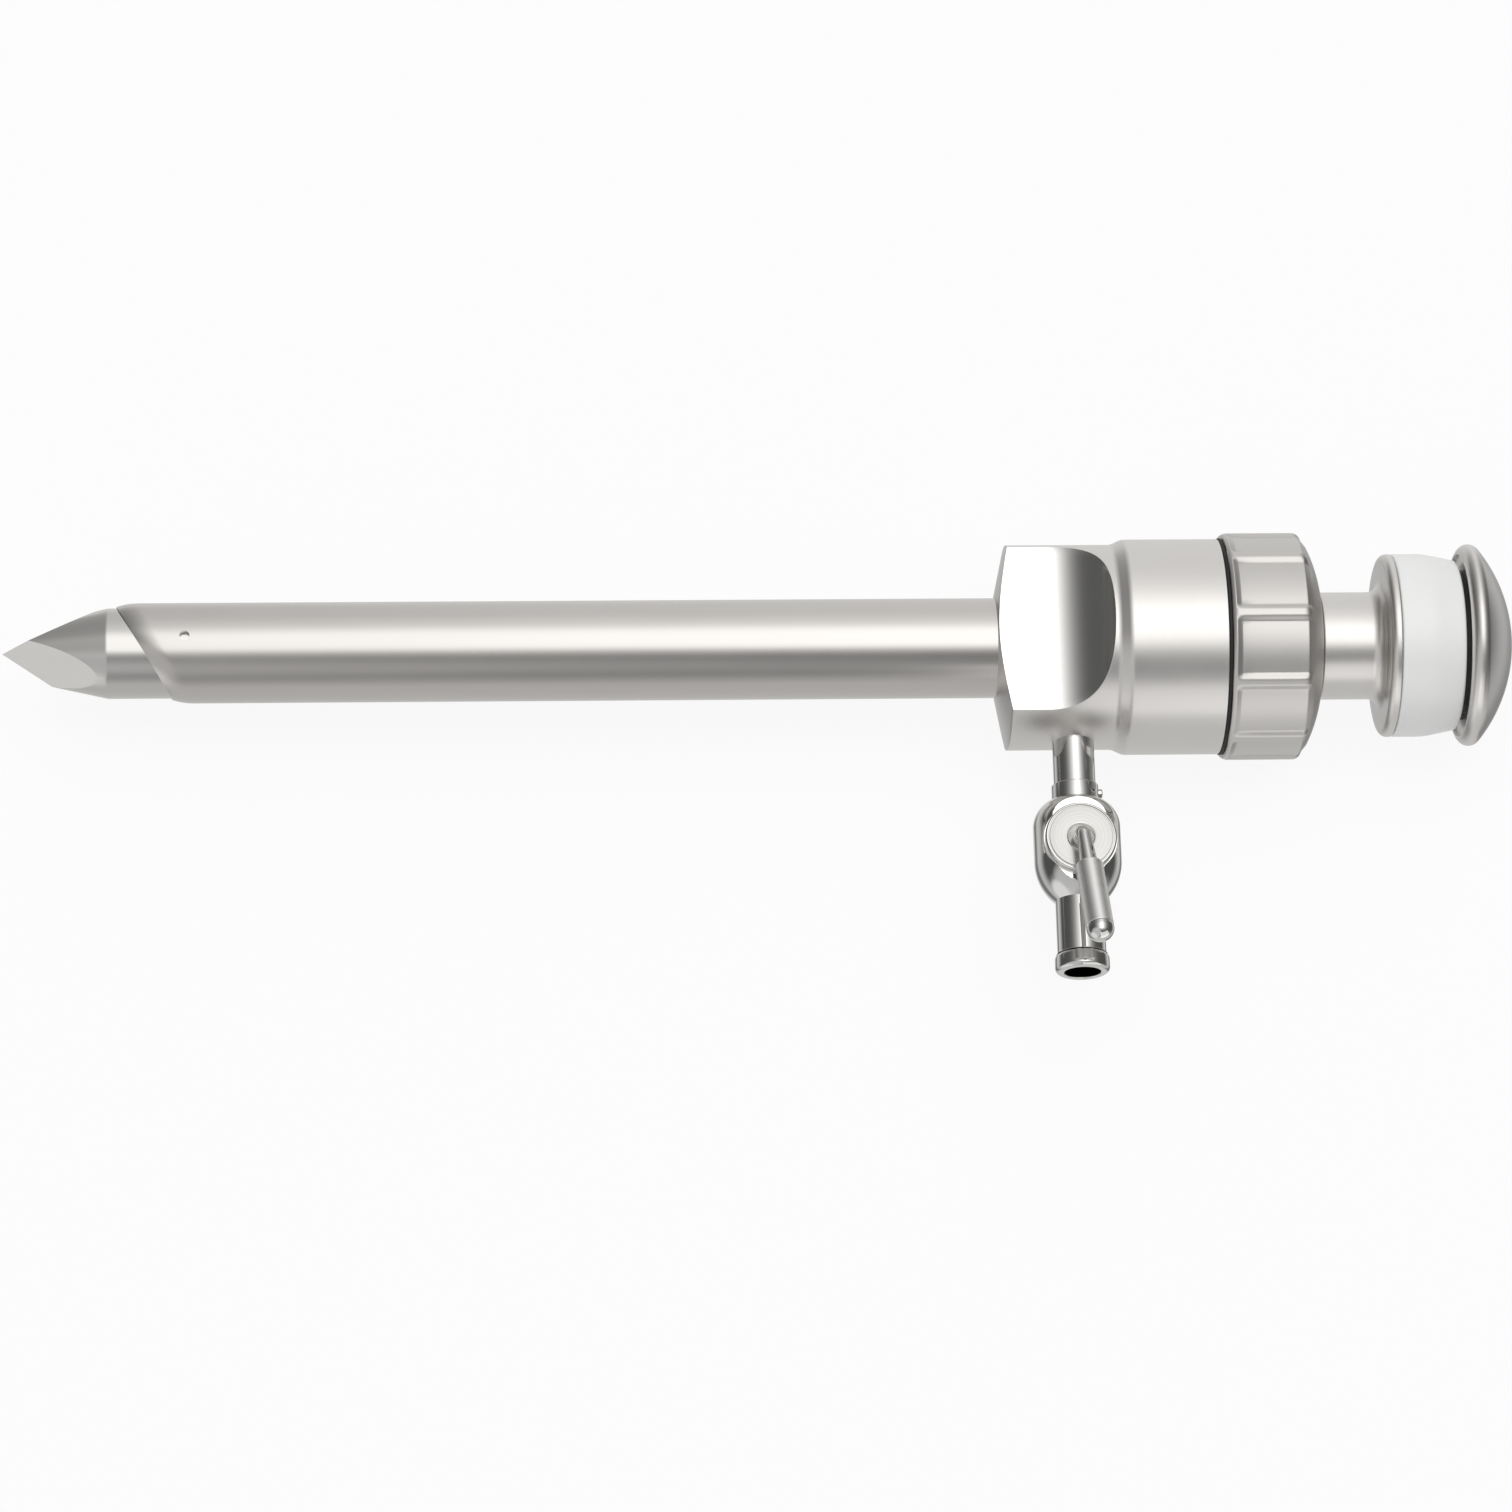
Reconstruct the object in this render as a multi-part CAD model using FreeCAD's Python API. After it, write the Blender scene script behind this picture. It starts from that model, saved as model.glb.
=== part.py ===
import FreeCAD, Part
import math
import os

# A reusable laparoscopic trocar: cannula with flap valve, gas tap and screw cap, and its obturator.
# Millimetres. X runs along the instrument towards the handle, the gas tap points to -Y and the two
# finger flats face +Z and -Z. The origin is on the axis where the sheath leaves the housing.

# sheath
sheath_radius = 6.0
sheath_wall = 0.55
sheath_length = 105.0
sheath_seat = 5.0
sheath_seat_step = 0.2
mouth_rake = 6.6
mouth_clock = 15.0
mouth_bevel_length = 1.9
mouth_bevel_depth = 0.42
vent_radius = 0.53
vent_setback = 8.3

# obturator rod and its three-edged point
rod_clearance = 0.05
point_reach = 13.6
point_cone_length = 12.6
point_cone_slope = 0.22
point_length = 30.0
facet_slope = 0.43
facet_clocks = (-50.0, 72.0, -150.0)
point_stud_radius = 2.5
point_stud_length = 8.0

# housing
front_cone_length = 1.4
barrel_step = 0.62
barrel_chamfer = 0.7
front_section_length = 14.3
front_edge_round = 0.3
barrel_length = 12.6
bore_relief = 0.15
flat_height = 6.65
flat_length = 6.0
flat_runout_radius = 7.8
flat_runout_turn = 80.0
gasket_shoulder = 0.95
gasket_thickness = 0.4
gasket_lip = 0.1
spigot_wall = 1.0
seat_shoulder = 0.8

# flap valve
flap_overlap = 0.7
flap_plate_thickness = 0.8
flap_facing_thickness = 0.4
flap_facing_inset = 0.3
hinge_drop = 1.6
hinge_pin_radius = 0.5
hinge_clearance = 0.05
hinge_barrel_wall = 0.5
hinge_half_width = 2.3
hinge_side_gap = 0.1
lug_width = 1.2
lug_height = 1.8
plate_offset = 0.1
flap_corner_gap = 0.17
flap_end_gap = 1.9
flap_rest_gap = 0.05
seat_thickness = 3.2
seat_funnel_radius = 8.0
seat_funnel_length = 1.7
magnet_wall = 0.3
magnet_width = 1.1
magnet_depth = 1.4
o_ring_section = 1.0
o_ring_squeeze = 0.01
o_ring_groove_width = 1.3
o_ring_setback = 1.3

# screw cap and the seal that it holds
thread_clearance = 0.06
cap_step = 0.68
cap_face_gap = 0.02
cap_front_chamfer_length = 0.45
cap_front_chamfer_depth = 0.4
cap_end_wall = 3.1
cap_cone_length = 2.1
cap_edge_round = 1.1
cap_hole_clearance = 0.3
cap_inner_gap = 0.05
flute_count = 10
flute_clock = -20.0
flute_depth = 0.75
flute_land = 1.9
flute_side_slope = 0.5
flute_end_slope = 0.6
flute_start = 0.5
flute_back = 0.9
flute_tail_radius = 9.0
cap_crown = 0.35
seal_thickness = 1.1
seal_rim_inset = 0.4
seal_lip_length = 1.0
seal_lip_thickness = 0.6
seal_root_thickness = 1.2
washer_thickness = 0.6

# obturator handle
stop_gap = 0.05
neck_radius = 6.45
neck_length = 7.5
neck_fillet = 1.1
flange_radius = 11.0
flange_thickness = 1.3
flange_round = 0.8
ring_length = 7.9
ring_straight_length = 3.8
ring_draw_in = 0.55
ring_shoulder_round = 1.2
ring_edge_round = 0.5
ring_play = 0.05
hub_core_radius = 6.0
ring_clearance = 0.05
spacer_radius = 9.0
spacer_thickness = 0.6
rod_socket_depth = 10.0
dome_radius = 12.15
dome_edge_radius = 1.35
dome_height = 6.0
dome_recess_depth = 0.75
dome_stud_radius = 2.5
dome_stud_length = 6.0
dome_stud_engagement = 2.6

# gas tap, whose own axis runs out from the instrument's at tap_station
tap_station = 9.0
tap_bore_radius = 1.4
pipe_radius = 2.5
pipe_seat_margin = 1.6
pipe_run = 5.4
pipe_foot_radius = 3.3
pipe_foot_length = 1.3
collar_radius = 2.8
collar_length = 1.9
collar_pin_radius = 0.55
collar_pin_height = 0.6
collar_pin_depth = 0.9
joint_radius = 2.0
joint_depth = 1.3
body_radius = 5.2
body_length = 12.6
body_shoulder_length = 3.4
body_tail_length = 5.0
body_half_depth = 4.1
boss_radius = 4.35
key_setback = 6.1
key_clearance = 0.04
key_face_gap = 0.02
key_large_radius = 3.3
key_small_radius = 2.9
key_head_radius = 4.25
key_head_thickness = 0.9
key_head_round = 0.25
key_groove_radius = 3.75
key_groove_width = 0.25
key_groove_depth = 0.2
key_dimple_radius = 1.5
key_dimple_depth = 0.6
key_stem_radius = 1.2
key_washer_radius = 3.4
key_washer_thickness = 0.5
spring_washer_radius = 3.0
spring_washer_rise = 0.5
spring_washer_thickness = 0.35
key_nut_across_flats = 4.6
key_nut_thickness = 1.8
key_stem_overrun = 0.3
lever_root_radius = 0.85
lever_root_wall = 0.7
lever_rod_radius = 1.1
lever_rise = 1.0
lever_bend_radius = 1.6
lever_slope = 20.0
lever_bare_length = 4.3
lever_grip_radius = 1.65
lever_grip_length = 9.2
lever_knob_length = 0.2
lever_clock = 4.0
outlet_radius = 2.9
outlet_length = 6.65
luer_flange_radius = 3.25
luer_flange_length = 2.2
luer_edge_round = 0.6
luer_socket_radius = 2.15
luer_socket_depth = 7.5
luer_lug_reach = 0.6
luer_lug_width = 2.2
luer_lug_length = 1.2

# sizes that follow from those above
bore_radius = sheath_radius - sheath_wall
rod_radius = bore_radius - rod_clearance
chamber_bore_radius = bore_radius + bore_relief
flap_radius = chamber_bore_radius + flap_overlap
facing_radius = flap_radius - flap_facing_inset
hinge_height = flap_radius + hinge_drop
hinge_barrel_radius = hinge_pin_radius + hinge_clearance + hinge_barrel_wall
face_offset = plate_offset + flap_plate_thickness + flap_facing_thickness
flap_reach = hinge_height + flap_radius
chamber_radius = math.hypot(hinge_height - plate_offset, flap_radius) + flap_corner_gap
seat_radius = chamber_radius + seat_shoulder
spigot_radius = seat_radius + spigot_wall
barrel_radius = spigot_radius + gasket_shoulder
front_radius = barrel_radius - barrel_step
barrel_end = front_section_length + barrel_length
flat_depth = front_radius - flat_height
runout_length = math.sqrt(flat_runout_radius ** 2 - (flat_runout_radius - flat_depth) ** 2)
chamber_front = flat_length + runout_length
hinge_station = chamber_front + flap_end_gap + flap_reach
seat_face = hinge_station + face_offset
spigot_end = seat_face + seat_thickness
socket_radius = sheath_radius - sheath_seat_step
gasket_end = barrel_end + gasket_thickness
cap_front = gasket_end + cap_face_gap
cap_radius = barrel_radius + cap_step
cap_bore_radius = spigot_radius + thread_clearance
seal_end = spigot_end + seal_thickness
washer_end = seal_end + washer_thickness
cap_floor = washer_end + cap_inner_gap
cap_end = cap_floor + cap_end_wall
cap_hole_radius = rod_radius + cap_hole_clearance
neck_start = cap_end + stop_gap
flange_start = neck_start + neck_length
flange_end = flange_start + flange_thickness
ring_start = flange_end + ring_play
ring_end = ring_start + ring_length
hub_end = ring_end + ring_play
spacer_end = hub_end + spacer_thickness
dome_apex = spacer_end + dome_height
tip_station = -sheath_length - point_reach
point_end = tip_station + point_length
pipe_start = chamber_bore_radius + pipe_seat_margin
collar_start = front_radius + pipe_run
body_start = collar_start + collar_length
body_end = body_start + body_length
flange_face = body_end + outlet_length
mouth_face = flange_face + luer_flange_length
key_distance = body_start + key_setback
reach = 2 * (mouth_face + sheath_length)
margin = 1.0

origin = FreeCAD.Vector(0, 0, 0)
x_axis = FreeCAD.Vector(1, 0, 0)
y_axis = FreeCAD.Vector(0, 1, 0)
z_axis = FreeCAD.Vector(0, 0, 1)


def at(along, out):
    """A point of a turned outline: along the axis, and out from it."""
    return FreeCAD.Vector(along, 0, out)


def rounding(before, corner, after, setback):
    """The start of the arc that rounds a corner between two neighbours, and its middle and end."""
    back = (before - corner).normalize()
    on = (after - corner).normalize()
    half = back.getAngle(on) / 2
    depth = setback * (1 - math.sin(half)) / math.cos(half)
    return corner + back * setback, (corner + (back + on).normalize() * depth, corner + on * setback)


def swell(low, high):
    """The middle of an arc between low and high that runs level with the axis at high."""
    run = high.x - low.x
    rise = high.z - low.z
    radius = (run ** 2 + rise ** 2) / (2 * rise)
    half = math.atan(rise / run)
    return at(high.x - radius * math.sin(half), high.z - radius * (1 - math.cos(half)))


def bulge(start, end, rise):
    """The middle of an arc that stands out from its chord by rise, on the left of start to end."""
    chord = (end - start).normalize()
    return (start + end) / 2 + FreeCAD.Vector(-chord.z, 0, chord.x) * rise


def outline(*steps):
    """A closed face from points, where a pair of points in brackets is an arc's middle and end."""
    edges = []
    last = steps[0]
    for step in steps[1:] + (steps[0],):
        if isinstance(step, tuple):
            middle, end = step
            edges.append(Part.Arc(last, middle, end).toShape())
            last = end
        elif (step - last).Length > 1e-7:
            edges.append(Part.LineSegment(last, step).toShape())
            last = step
    return Part.Face(Part.Wire(edges))


def turned(*steps):
    """A solid turned about the X axis."""
    return outline(*steps).revolve(origin, x_axis, 360)


def tube(start, end, outer, inner):
    return turned(at(start, inner), at(end, inner), at(end, outer), at(start, outer))


def rod(start, end, radius):
    return Part.makeCylinder(radius, end - start, at(start, 0), x_axis)


def clocked(shape, angle):
    """The shape turned about the X axis, so that what faced +Z leans towards +Y by the angle."""
    copy = shape.copy()
    copy.rotate(origin, x_axis, -angle)
    return copy


def on_tap(shape):
    """From the tap's frame, X outwards along the pipe and Z up, to its place on the housing."""
    copy = shape.copy()
    copy.rotate(origin, z_axis, -90)
    copy.translate(FreeCAD.Vector(tap_station, 0, 0))
    return copy


def on_key(shape):
    """From a frame whose X is the key's axis to its place in the tap's frame."""
    copy = shape.copy()
    copy.rotate(origin, y_axis, -90)
    copy.translate(FreeCAD.Vector(key_distance, 0, 0))
    return copy


def sheared_bevel():
    """What the bevel removes from the sheath's oblique mouth: a ring that leans with the mouth."""
    lip_radius = sheath_radius - mouth_bevel_depth
    outer = sheath_radius + margin
    ring = turned(
        at(-sheath_length, lip_radius),
        at(-sheath_length + mouth_bevel_length, sheath_radius),
        at(-sheath_length + mouth_bevel_length, outer),
        at(-sheath_length - outer, outer),
        at(-sheath_length - outer, lip_radius),
    )
    lean = FreeCAD.Matrix()
    lean.A13 = -mouth_rake / (2 * sheath_radius)
    lean.A14 = mouth_rake / 2
    return clocked(ring.transformGeometry(lean), 90 - mouth_clock)


def make_sheath():
    """The sheath: a thin tube with a bevelled oblique mouth, a vent hole and a stepped seat."""
    body = turned(
        at(-sheath_length - margin, bore_radius),
        at(sheath_seat, bore_radius),
        at(sheath_seat, socket_radius),
        at(0, socket_radius),
        at(0, sheath_radius),
        at(-sheath_length - margin, sheath_radius),
    )
    rake = math.degrees(math.atan2(mouth_rake, 2 * sheath_radius))
    waste = Part.makeBox(reach, reach, reach, FreeCAD.Vector(-reach, -reach / 2, -reach / 2))
    waste.rotate(origin, y_axis, -rake)
    waste.translate(FreeCAD.Vector(-sheath_length + mouth_rake / 2, 0, 0))
    body = body.cut(clocked(waste, 90 - mouth_clock))
    body = body.cut(sheared_bevel())
    vent_at = FreeCAD.Vector(vent_setback - sheath_length, 0, 0)
    return body.cut(Part.makeCylinder(vent_radius, 2 * sheath_radius, vent_at))


def make_point():
    """The obturator's point: a blunt cone ground with three flats that meet on the axis."""
    cone_end = tip_station + point_cone_length
    nose_radius = rod_radius - point_cone_slope * point_cone_length
    blank = turned(
        at(tip_station, 0),
        at(tip_station, nose_radius),
        at(cone_end, rod_radius),
        at(point_end, rod_radius),
        at(point_end, point_stud_radius),
        at(point_end + point_stud_length, point_stud_radius),
        at(point_end + point_stud_length, 0),
    )
    waste = Part.makeBox(reach, reach, reach, FreeCAD.Vector(-reach / 2, -reach / 2, 0))
    waste.rotate(origin, y_axis, -math.degrees(math.atan(facet_slope)))
    waste.translate(FreeCAD.Vector(tip_station, 0, 0))
    for clock in facet_clocks:
        blank = blank.cut(clocked(waste, clock))
    return blank


def make_rod():
    rod_end = neck_start + rod_socket_depth
    body = rod(point_end, rod_end, rod_radius)
    return body.cut(rod(point_end, point_end + point_stud_length, point_stud_radius))


def finger_flats():
    """The two cutters for the finger flats, each ending in a hollow run-out."""
    far = 2 * front_radius
    turn = math.radians(flat_runout_turn)
    centre_height = flat_height + flat_runout_radius

    def on_arc(angle):
        along = flat_length + flat_runout_radius * math.sin(angle)
        return at(along, centre_height - flat_runout_radius * math.cos(angle))

    top = on_arc(turn)
    face = outline(
        at(-margin, flat_height),
        at(flat_length, flat_height),
        (on_arc(turn / 2), top),
        at(top.x, far),
        at(-margin, far),
    )
    cutter = face.extrude(y_axis * 2 * far)
    cutter.translate(y_axis * -far)
    return cutter.fuse(clocked(cutter, 180))


def make_housing():
    """The housing: front cone, waisted front with two finger flats, barrel and threaded spigot."""
    cone_foot = at(0, sheath_radius)
    cone_edge = at(front_cone_length, front_radius)
    waist = at(front_section_length, front_radius)
    body = turned(
        at(0, socket_radius),
        cone_foot,
        *rounding(cone_foot, cone_edge, waist, front_edge_round),
        waist,
        at(front_section_length + barrel_chamfer, barrel_radius),
        at(barrel_end, barrel_radius),
        at(barrel_end, spigot_radius),
        at(spigot_end, spigot_radius),
        at(spigot_end, seat_radius),
        at(seat_face, seat_radius),
        at(seat_face, chamber_radius),
        at(chamber_front, chamber_radius),
        at(chamber_front, chamber_bore_radius),
        at(sheath_seat, chamber_bore_radius),
        at(sheath_seat, socket_radius),
    )
    body = body.cut(finger_flats())
    body = body.cut(on_tap(rod(pipe_start, reach, pipe_radius)))
    return body.cut(on_tap(rod(0, pipe_start, tap_bore_radius)))


def make_gasket():
    return tube(barrel_end, gasket_end, barrel_radius + gasket_lip, spigot_radius + thread_clearance)


def make_valve_seat():
    """The seat ring that the flap closes on, with two hinge lugs, a magnet groove and an O-ring groove."""
    groove_start = seat_face + o_ring_setback
    groove_end = groove_start + o_ring_groove_width
    groove_radius = seat_radius - o_ring_section
    body = turned(
        at(seat_face, chamber_bore_radius),
        at(spigot_end - seat_funnel_length, chamber_bore_radius),
        at(spigot_end, seat_funnel_radius),
        at(spigot_end, seat_radius),
        at(groove_end, seat_radius),
        at(groove_end, groove_radius),
        at(groove_start, groove_radius),
        at(groove_start, seat_radius),
        at(seat_face, seat_radius),
    )
    magnet_radius = chamber_bore_radius + magnet_wall
    body = body.cut(tube(seat_face, seat_face + magnet_depth, magnet_radius + magnet_width, magnet_radius))
    lug_front = hinge_station - lug_height / 2
    lug_foot = magnet_radius + magnet_width
    inner = hinge_half_width + hinge_side_gap
    for side in (inner, -inner - lug_width):
        corner = FreeCAD.Vector(lug_front, lug_foot, side)
        lug = Part.makeBox(seat_face - lug_front, hinge_height + lug_height / 2 - lug_foot, lug_width, corner)
        body = body.fuse(lug)
    return body.cut(hinge_cylinder(hinge_pin_radius, 2 * lug_width + inner)).removeSplitter()


def make_magnet():
    magnet_radius = chamber_bore_radius + magnet_wall
    return tube(seat_face, seat_face + magnet_depth, magnet_radius + magnet_width, magnet_radius)


def make_o_ring():
    """The seat's O-ring, lying in its groove against the housing."""
    half = o_ring_section / 2
    centre = FreeCAD.Vector(seat_face + o_ring_setback + o_ring_groove_width / 2, 0, 0)
    return Part.makeTorus(seat_radius - half, half - o_ring_squeeze, centre, x_axis)


def hinge_cylinder(radius, half_length):
    start = FreeCAD.Vector(hinge_station, hinge_height, -half_length)
    return Part.makeCylinder(radius, 2 * half_length, start)


def make_hinge_pin():
    return hinge_cylinder(hinge_pin_radius, hinge_half_width + hinge_side_gap + lug_width)


def resting_angle():
    """How far the flap has swung from its seat when its facing rests on the obturator."""
    far = hinge_height + facing_radius
    drop = hinge_height - rod_radius - flap_rest_gap
    lean = math.atan2(face_offset, far)
    return 90 - math.degrees(math.asin(drop / math.hypot(face_offset, far)) - lean)


def opened(shape):
    copy = shape.copy()
    copy.rotate(FreeCAD.Vector(hinge_station, hinge_height, 0), z_axis, -resting_angle())
    return copy


def make_flap():
    """The steel flap with its hinge barrel, lying open along the obturator."""
    plate_front = hinge_station + plate_offset
    plate = rod(plate_front, plate_front + flap_plate_thickness, flap_radius)
    arm_foot = math.sqrt(flap_radius ** 2 - hinge_half_width ** 2)
    arm_corner = FreeCAD.Vector(plate_front, arm_foot - flap_overlap, -hinge_half_width)
    arm_height = hinge_height - arm_foot + flap_overlap
    arm = Part.makeBox(flap_plate_thickness, arm_height, 2 * hinge_half_width, arm_corner)
    barrel = hinge_cylinder(hinge_barrel_radius, hinge_half_width)
    bore = hinge_cylinder(hinge_pin_radius + hinge_clearance, hinge_half_width)
    return opened(plate.fuse(arm).fuse(barrel).cut(bore).removeSplitter())


def make_flap_facing():
    plate_back = hinge_station + plate_offset + flap_plate_thickness
    return opened(rod(plate_back, plate_back + flap_facing_thickness, facing_radius))


def make_instrument_seal():
    """The rubber washer whose lip runs on the obturator, inside the seat's funnel."""
    lip_radius = rod_radius + rod_clearance
    lip_tip = spigot_end - seal_lip_length
    shoulder = lip_radius + seal_root_thickness
    return turned(
        at(lip_tip, lip_radius),
        at(seal_end, lip_radius + seal_lip_thickness),
        at(seal_end, cap_bore_radius - seal_rim_inset),
        at(spigot_end, cap_bore_radius - seal_rim_inset),
        at(spigot_end, shoulder),
        at(lip_tip, lip_radius + seal_lip_thickness),
    )


def make_seal_washer():
    return tube(seal_end, washer_end, cap_bore_radius - seal_rim_inset, cap_hole_radius)


def flute_cutter():
    """One flute of the cap's grip: sloping sides and front end, and a tail that runs out down the cone."""
    floor = cap_radius - flute_depth
    high = cap_radius + flute_depth
    pitch = math.radians(360 / flute_count)
    top_half = pitch / 2 - flute_land / 2 / cap_radius
    side_lean = flute_side_slope / cap_radius

    def rim(radius, angle):
        return FreeCAD.Vector(0, radius * math.sin(angle), radius * math.cos(angle))

    low = flute_tail_radius
    low_half = top_half - side_lean * (cap_radius - low)
    high_half = top_half + side_lean * flute_depth
    edges = [
        Part.Arc(rim(low, -low_half), rim(low, 0), rim(low, low_half)).toShape(),
        Part.LineSegment(rim(low, low_half), rim(high, high_half)).toShape(),
        Part.Arc(rim(high, high_half), rim(high, 0), rim(high, -high_half)).toShape(),
        Part.LineSegment(rim(high, -high_half), rim(low, -low_half)).toShape(),
    ]
    start = cap_front + flute_start
    wedge = Part.Face(Part.Wire(edges)).extrude(x_axis * (cap_end - cap_front))
    wedge.translate(x_axis * cap_front)
    lean = flute_end_slope * flute_depth
    band = turned(
        at(start + lean, floor),
        at(cap_end - cap_cone_length - flute_back, floor),
        at(cap_end, low),
        at(cap_end, high),
        at(start - lean, high),
    )
    return wedge.common(band)


def make_screw_cap():
    """The fluted cap that screws on the spigot and presses the seal on its seat."""
    front_edge = at(cap_front + cap_front_chamfer_length, cap_radius)
    shoulder = at(cap_end - cap_cone_length, cap_radius)
    hub_edge = at(cap_end, neck_radius + cap_inner_gap)
    edge_start, edge_arc = rounding(front_edge, shoulder, hub_edge, cap_edge_round)
    body = turned(
        at(cap_front, cap_bore_radius),
        at(cap_front, cap_radius - cap_front_chamfer_depth),
        front_edge,
        edge_start,
        edge_arc,
        (bulge(edge_arc[1], hub_edge, cap_crown), hub_edge),
        at(cap_end, cap_hole_radius),
        at(cap_floor, cap_hole_radius),
        at(cap_floor, cap_bore_radius),
    )
    cutter = flute_cutter()
    for number in range(flute_count):
        body = body.cut(clocked(cutter, flute_clock + number * 360 / flute_count))
    return body


def make_handle_hub():
    """The obturator's neck and flange in one piece, with the core that carries the grip ring."""
    neck_front = at(neck_start, neck_radius)
    flange_foot = at(flange_start, neck_radius)
    flange_front = at(flange_start, flange_radius)
    flange_back = at(flange_end, flange_radius)
    body = turned(
        at(neck_start, 0),
        neck_front,
        *rounding(neck_front, flange_foot, flange_front, neck_fillet),
        *rounding(flange_foot, flange_front, flange_back, flange_round),
        flange_back,
        at(flange_end, hub_core_radius),
        at(hub_end, hub_core_radius),
        at(hub_end, 0),
    )
    body = body.cut(rod(neck_start, neck_start + rod_socket_depth, rod_radius))
    return body.cut(rod(hub_end - dome_stud_length + dome_stud_engagement, hub_end, dome_stud_radius))


def make_grip_ring():
    """The white plastic ring, drawn in towards the dome."""
    inner = hub_core_radius + ring_clearance
    front = at(ring_start, flange_radius)
    shoulder = at(ring_start + ring_straight_length, flange_radius)
    edge = at(ring_end, flange_radius - ring_draw_in)
    foot = at(ring_end, inner)
    return turned(
        at(ring_start, inner),
        front,
        *rounding(front, shoulder, edge, ring_shoulder_round),
        *rounding(shoulder, edge, foot, ring_edge_round),
        foot,
    )


def make_spacer():
    return tube(hub_end, spacer_end, spacer_radius, dome_stud_radius)


def make_dome_cap():
    """The domed end cap: a rounded rim running into a spherical crown, over a shallow recess."""
    rim = dome_edge_radius
    back = spacer_end - dome_recess_depth
    rim_along = back + rim
    rim_out = dome_radius - rim
    crown_height = dome_apex - rim_along
    offset = (crown_height ** 2 + rim_out ** 2 - rim ** 2) / (2 * (crown_height - rim))
    centre_along = dome_apex - offset
    lean = math.atan2(rim_out, rim_along - centre_along)
    meet = at(rim_along + rim * math.cos(lean), rim_out + rim * math.sin(lean))
    crown_middle = at(centre_along + offset * math.cos(lean / 2), offset * math.sin(lean / 2))
    around = (math.pi + lean) / 2
    rim_middle = at(rim_along + rim * math.cos(around), rim_out + rim * math.sin(around))
    body = turned(
        at(spacer_end, 0),
        at(spacer_end, rim_out),
        at(back, rim_out),
        (rim_middle, meet),
        (crown_middle, at(dome_apex, 0)),
    )
    return body.cut(rod(spacer_end, spacer_end + dome_stud_engagement, dome_stud_radius))


def make_dome_stud():
    start = hub_end - dome_stud_length + dome_stud_engagement
    return rod(start, spacer_end + dome_stud_engagement, dome_stud_radius)


def make_tap_pipe():
    """The pipe brazed into the housing, with its flared foot and its collar."""
    foot_start = front_radius - pipe_foot_length / 2
    body = turned(
        at(pipe_start, tap_bore_radius),
        at(pipe_start, pipe_radius),
        at(collar_start, pipe_radius),
        at(collar_start, collar_radius),
        at(body_start, collar_radius),
        at(body_start, joint_radius),
        at(body_start + joint_depth, joint_radius),
        at(body_start + joint_depth, tap_bore_radius),
    )
    foot = turned(
        at(foot_start, pipe_radius),
        at(foot_start, pipe_foot_radius),
        at(foot_start + pipe_foot_length, pipe_radius),
    )
    foot = on_tap(foot).cut(rod(0, front_section_length, front_radius))
    return on_tap(body).fuse(foot).removeSplitter()


def collar_pin_shape():
    start = FreeCAD.Vector(body_start - collar_length / 2, collar_radius - collar_pin_depth, 0)
    return Part.makeCylinder(collar_pin_radius, collar_pin_depth + collar_pin_height, start, y_axis)


def make_tap_body():
    """The tap's body: a barrel turned about the pipe, faced flat front and back, with a boss for the key."""
    tail_start = body_end - body_tail_length
    head = at(body_start, collar_radius)
    shoulder = at(body_start + body_shoulder_length, body_radius)
    hip = at(tail_start, body_radius)
    tail = at(body_end, outlet_radius)
    barrel = turned(
        at(body_start, 0),
        head,
        (swell(head, shoulder), shoulder),
        hip,
        (swell(tail, hip), tail),
        at(body_end, 0),
    )
    slab_corner = FreeCAD.Vector(0, -2 * body_radius, -body_half_depth)
    slab = Part.makeBox(reach, 4 * body_radius, 2 * body_half_depth, slab_corner)
    boss = on_key(rod(-body_half_depth, body_half_depth, boss_radius))
    body = barrel.common(slab).fuse(boss).removeSplitter()
    plug_space = Part.makeCone(
        key_small_radius + key_clearance,
        key_large_radius + key_clearance,
        2 * body_half_depth,
        at(-body_half_depth, 0),
        x_axis,
    )
    body = body.cut(on_key(plug_space))
    body = body.cut(rod(body_start, body_start + joint_depth, joint_radius))
    body = body.cut(rod(body_end - joint_depth, body_end, joint_radius))
    return on_tap(body.cut(rod(body_start, body_end, tap_bore_radius)))


def make_outlet():
    """The outlet tube with its rounded flange, two locking lugs and the socket for a gas line."""
    flange_foot = at(flange_face, outlet_radius)
    flange_front = at(flange_face, luer_flange_radius)
    flange_back = at(mouth_face, luer_flange_radius)
    mouth = at(mouth_face, luer_socket_radius)
    socket_start = mouth_face - luer_socket_depth
    body = turned(
        at(body_end - joint_depth, tap_bore_radius),
        at(body_end - joint_depth, joint_radius),
        at(body_end, joint_radius),
        at(body_end, outlet_radius),
        flange_foot,
        *rounding(flange_foot, flange_front, flange_back, luer_edge_round),
        *rounding(flange_front, flange_back, mouth, luer_edge_round),
        mouth,
        at(socket_start, luer_socket_radius),
        at(socket_start, tap_bore_radius),
    )
    lug_reach = luer_flange_radius + luer_lug_reach
    lug_start = mouth_face - luer_edge_round - luer_lug_length
    lug_corner = FreeCAD.Vector(lug_start, -luer_lug_width / 2, -lug_reach)
    lugs = Part.makeBox(luer_lug_length, luer_lug_width, 2 * lug_reach, lug_corner)
    lugs = lugs.cut(rod(body_end, mouth_face, outlet_radius))
    return on_tap(body.fuse(lugs).removeSplitter())


def as_clocked_lever(shape):
    """The lever and key stand a few degrees off the pipe, as the tap was left."""
    copy = shape.copy()
    copy.rotate(FreeCAD.Vector(key_distance, 0, 0), z_axis, lever_clock)
    return on_tap(copy)


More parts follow.
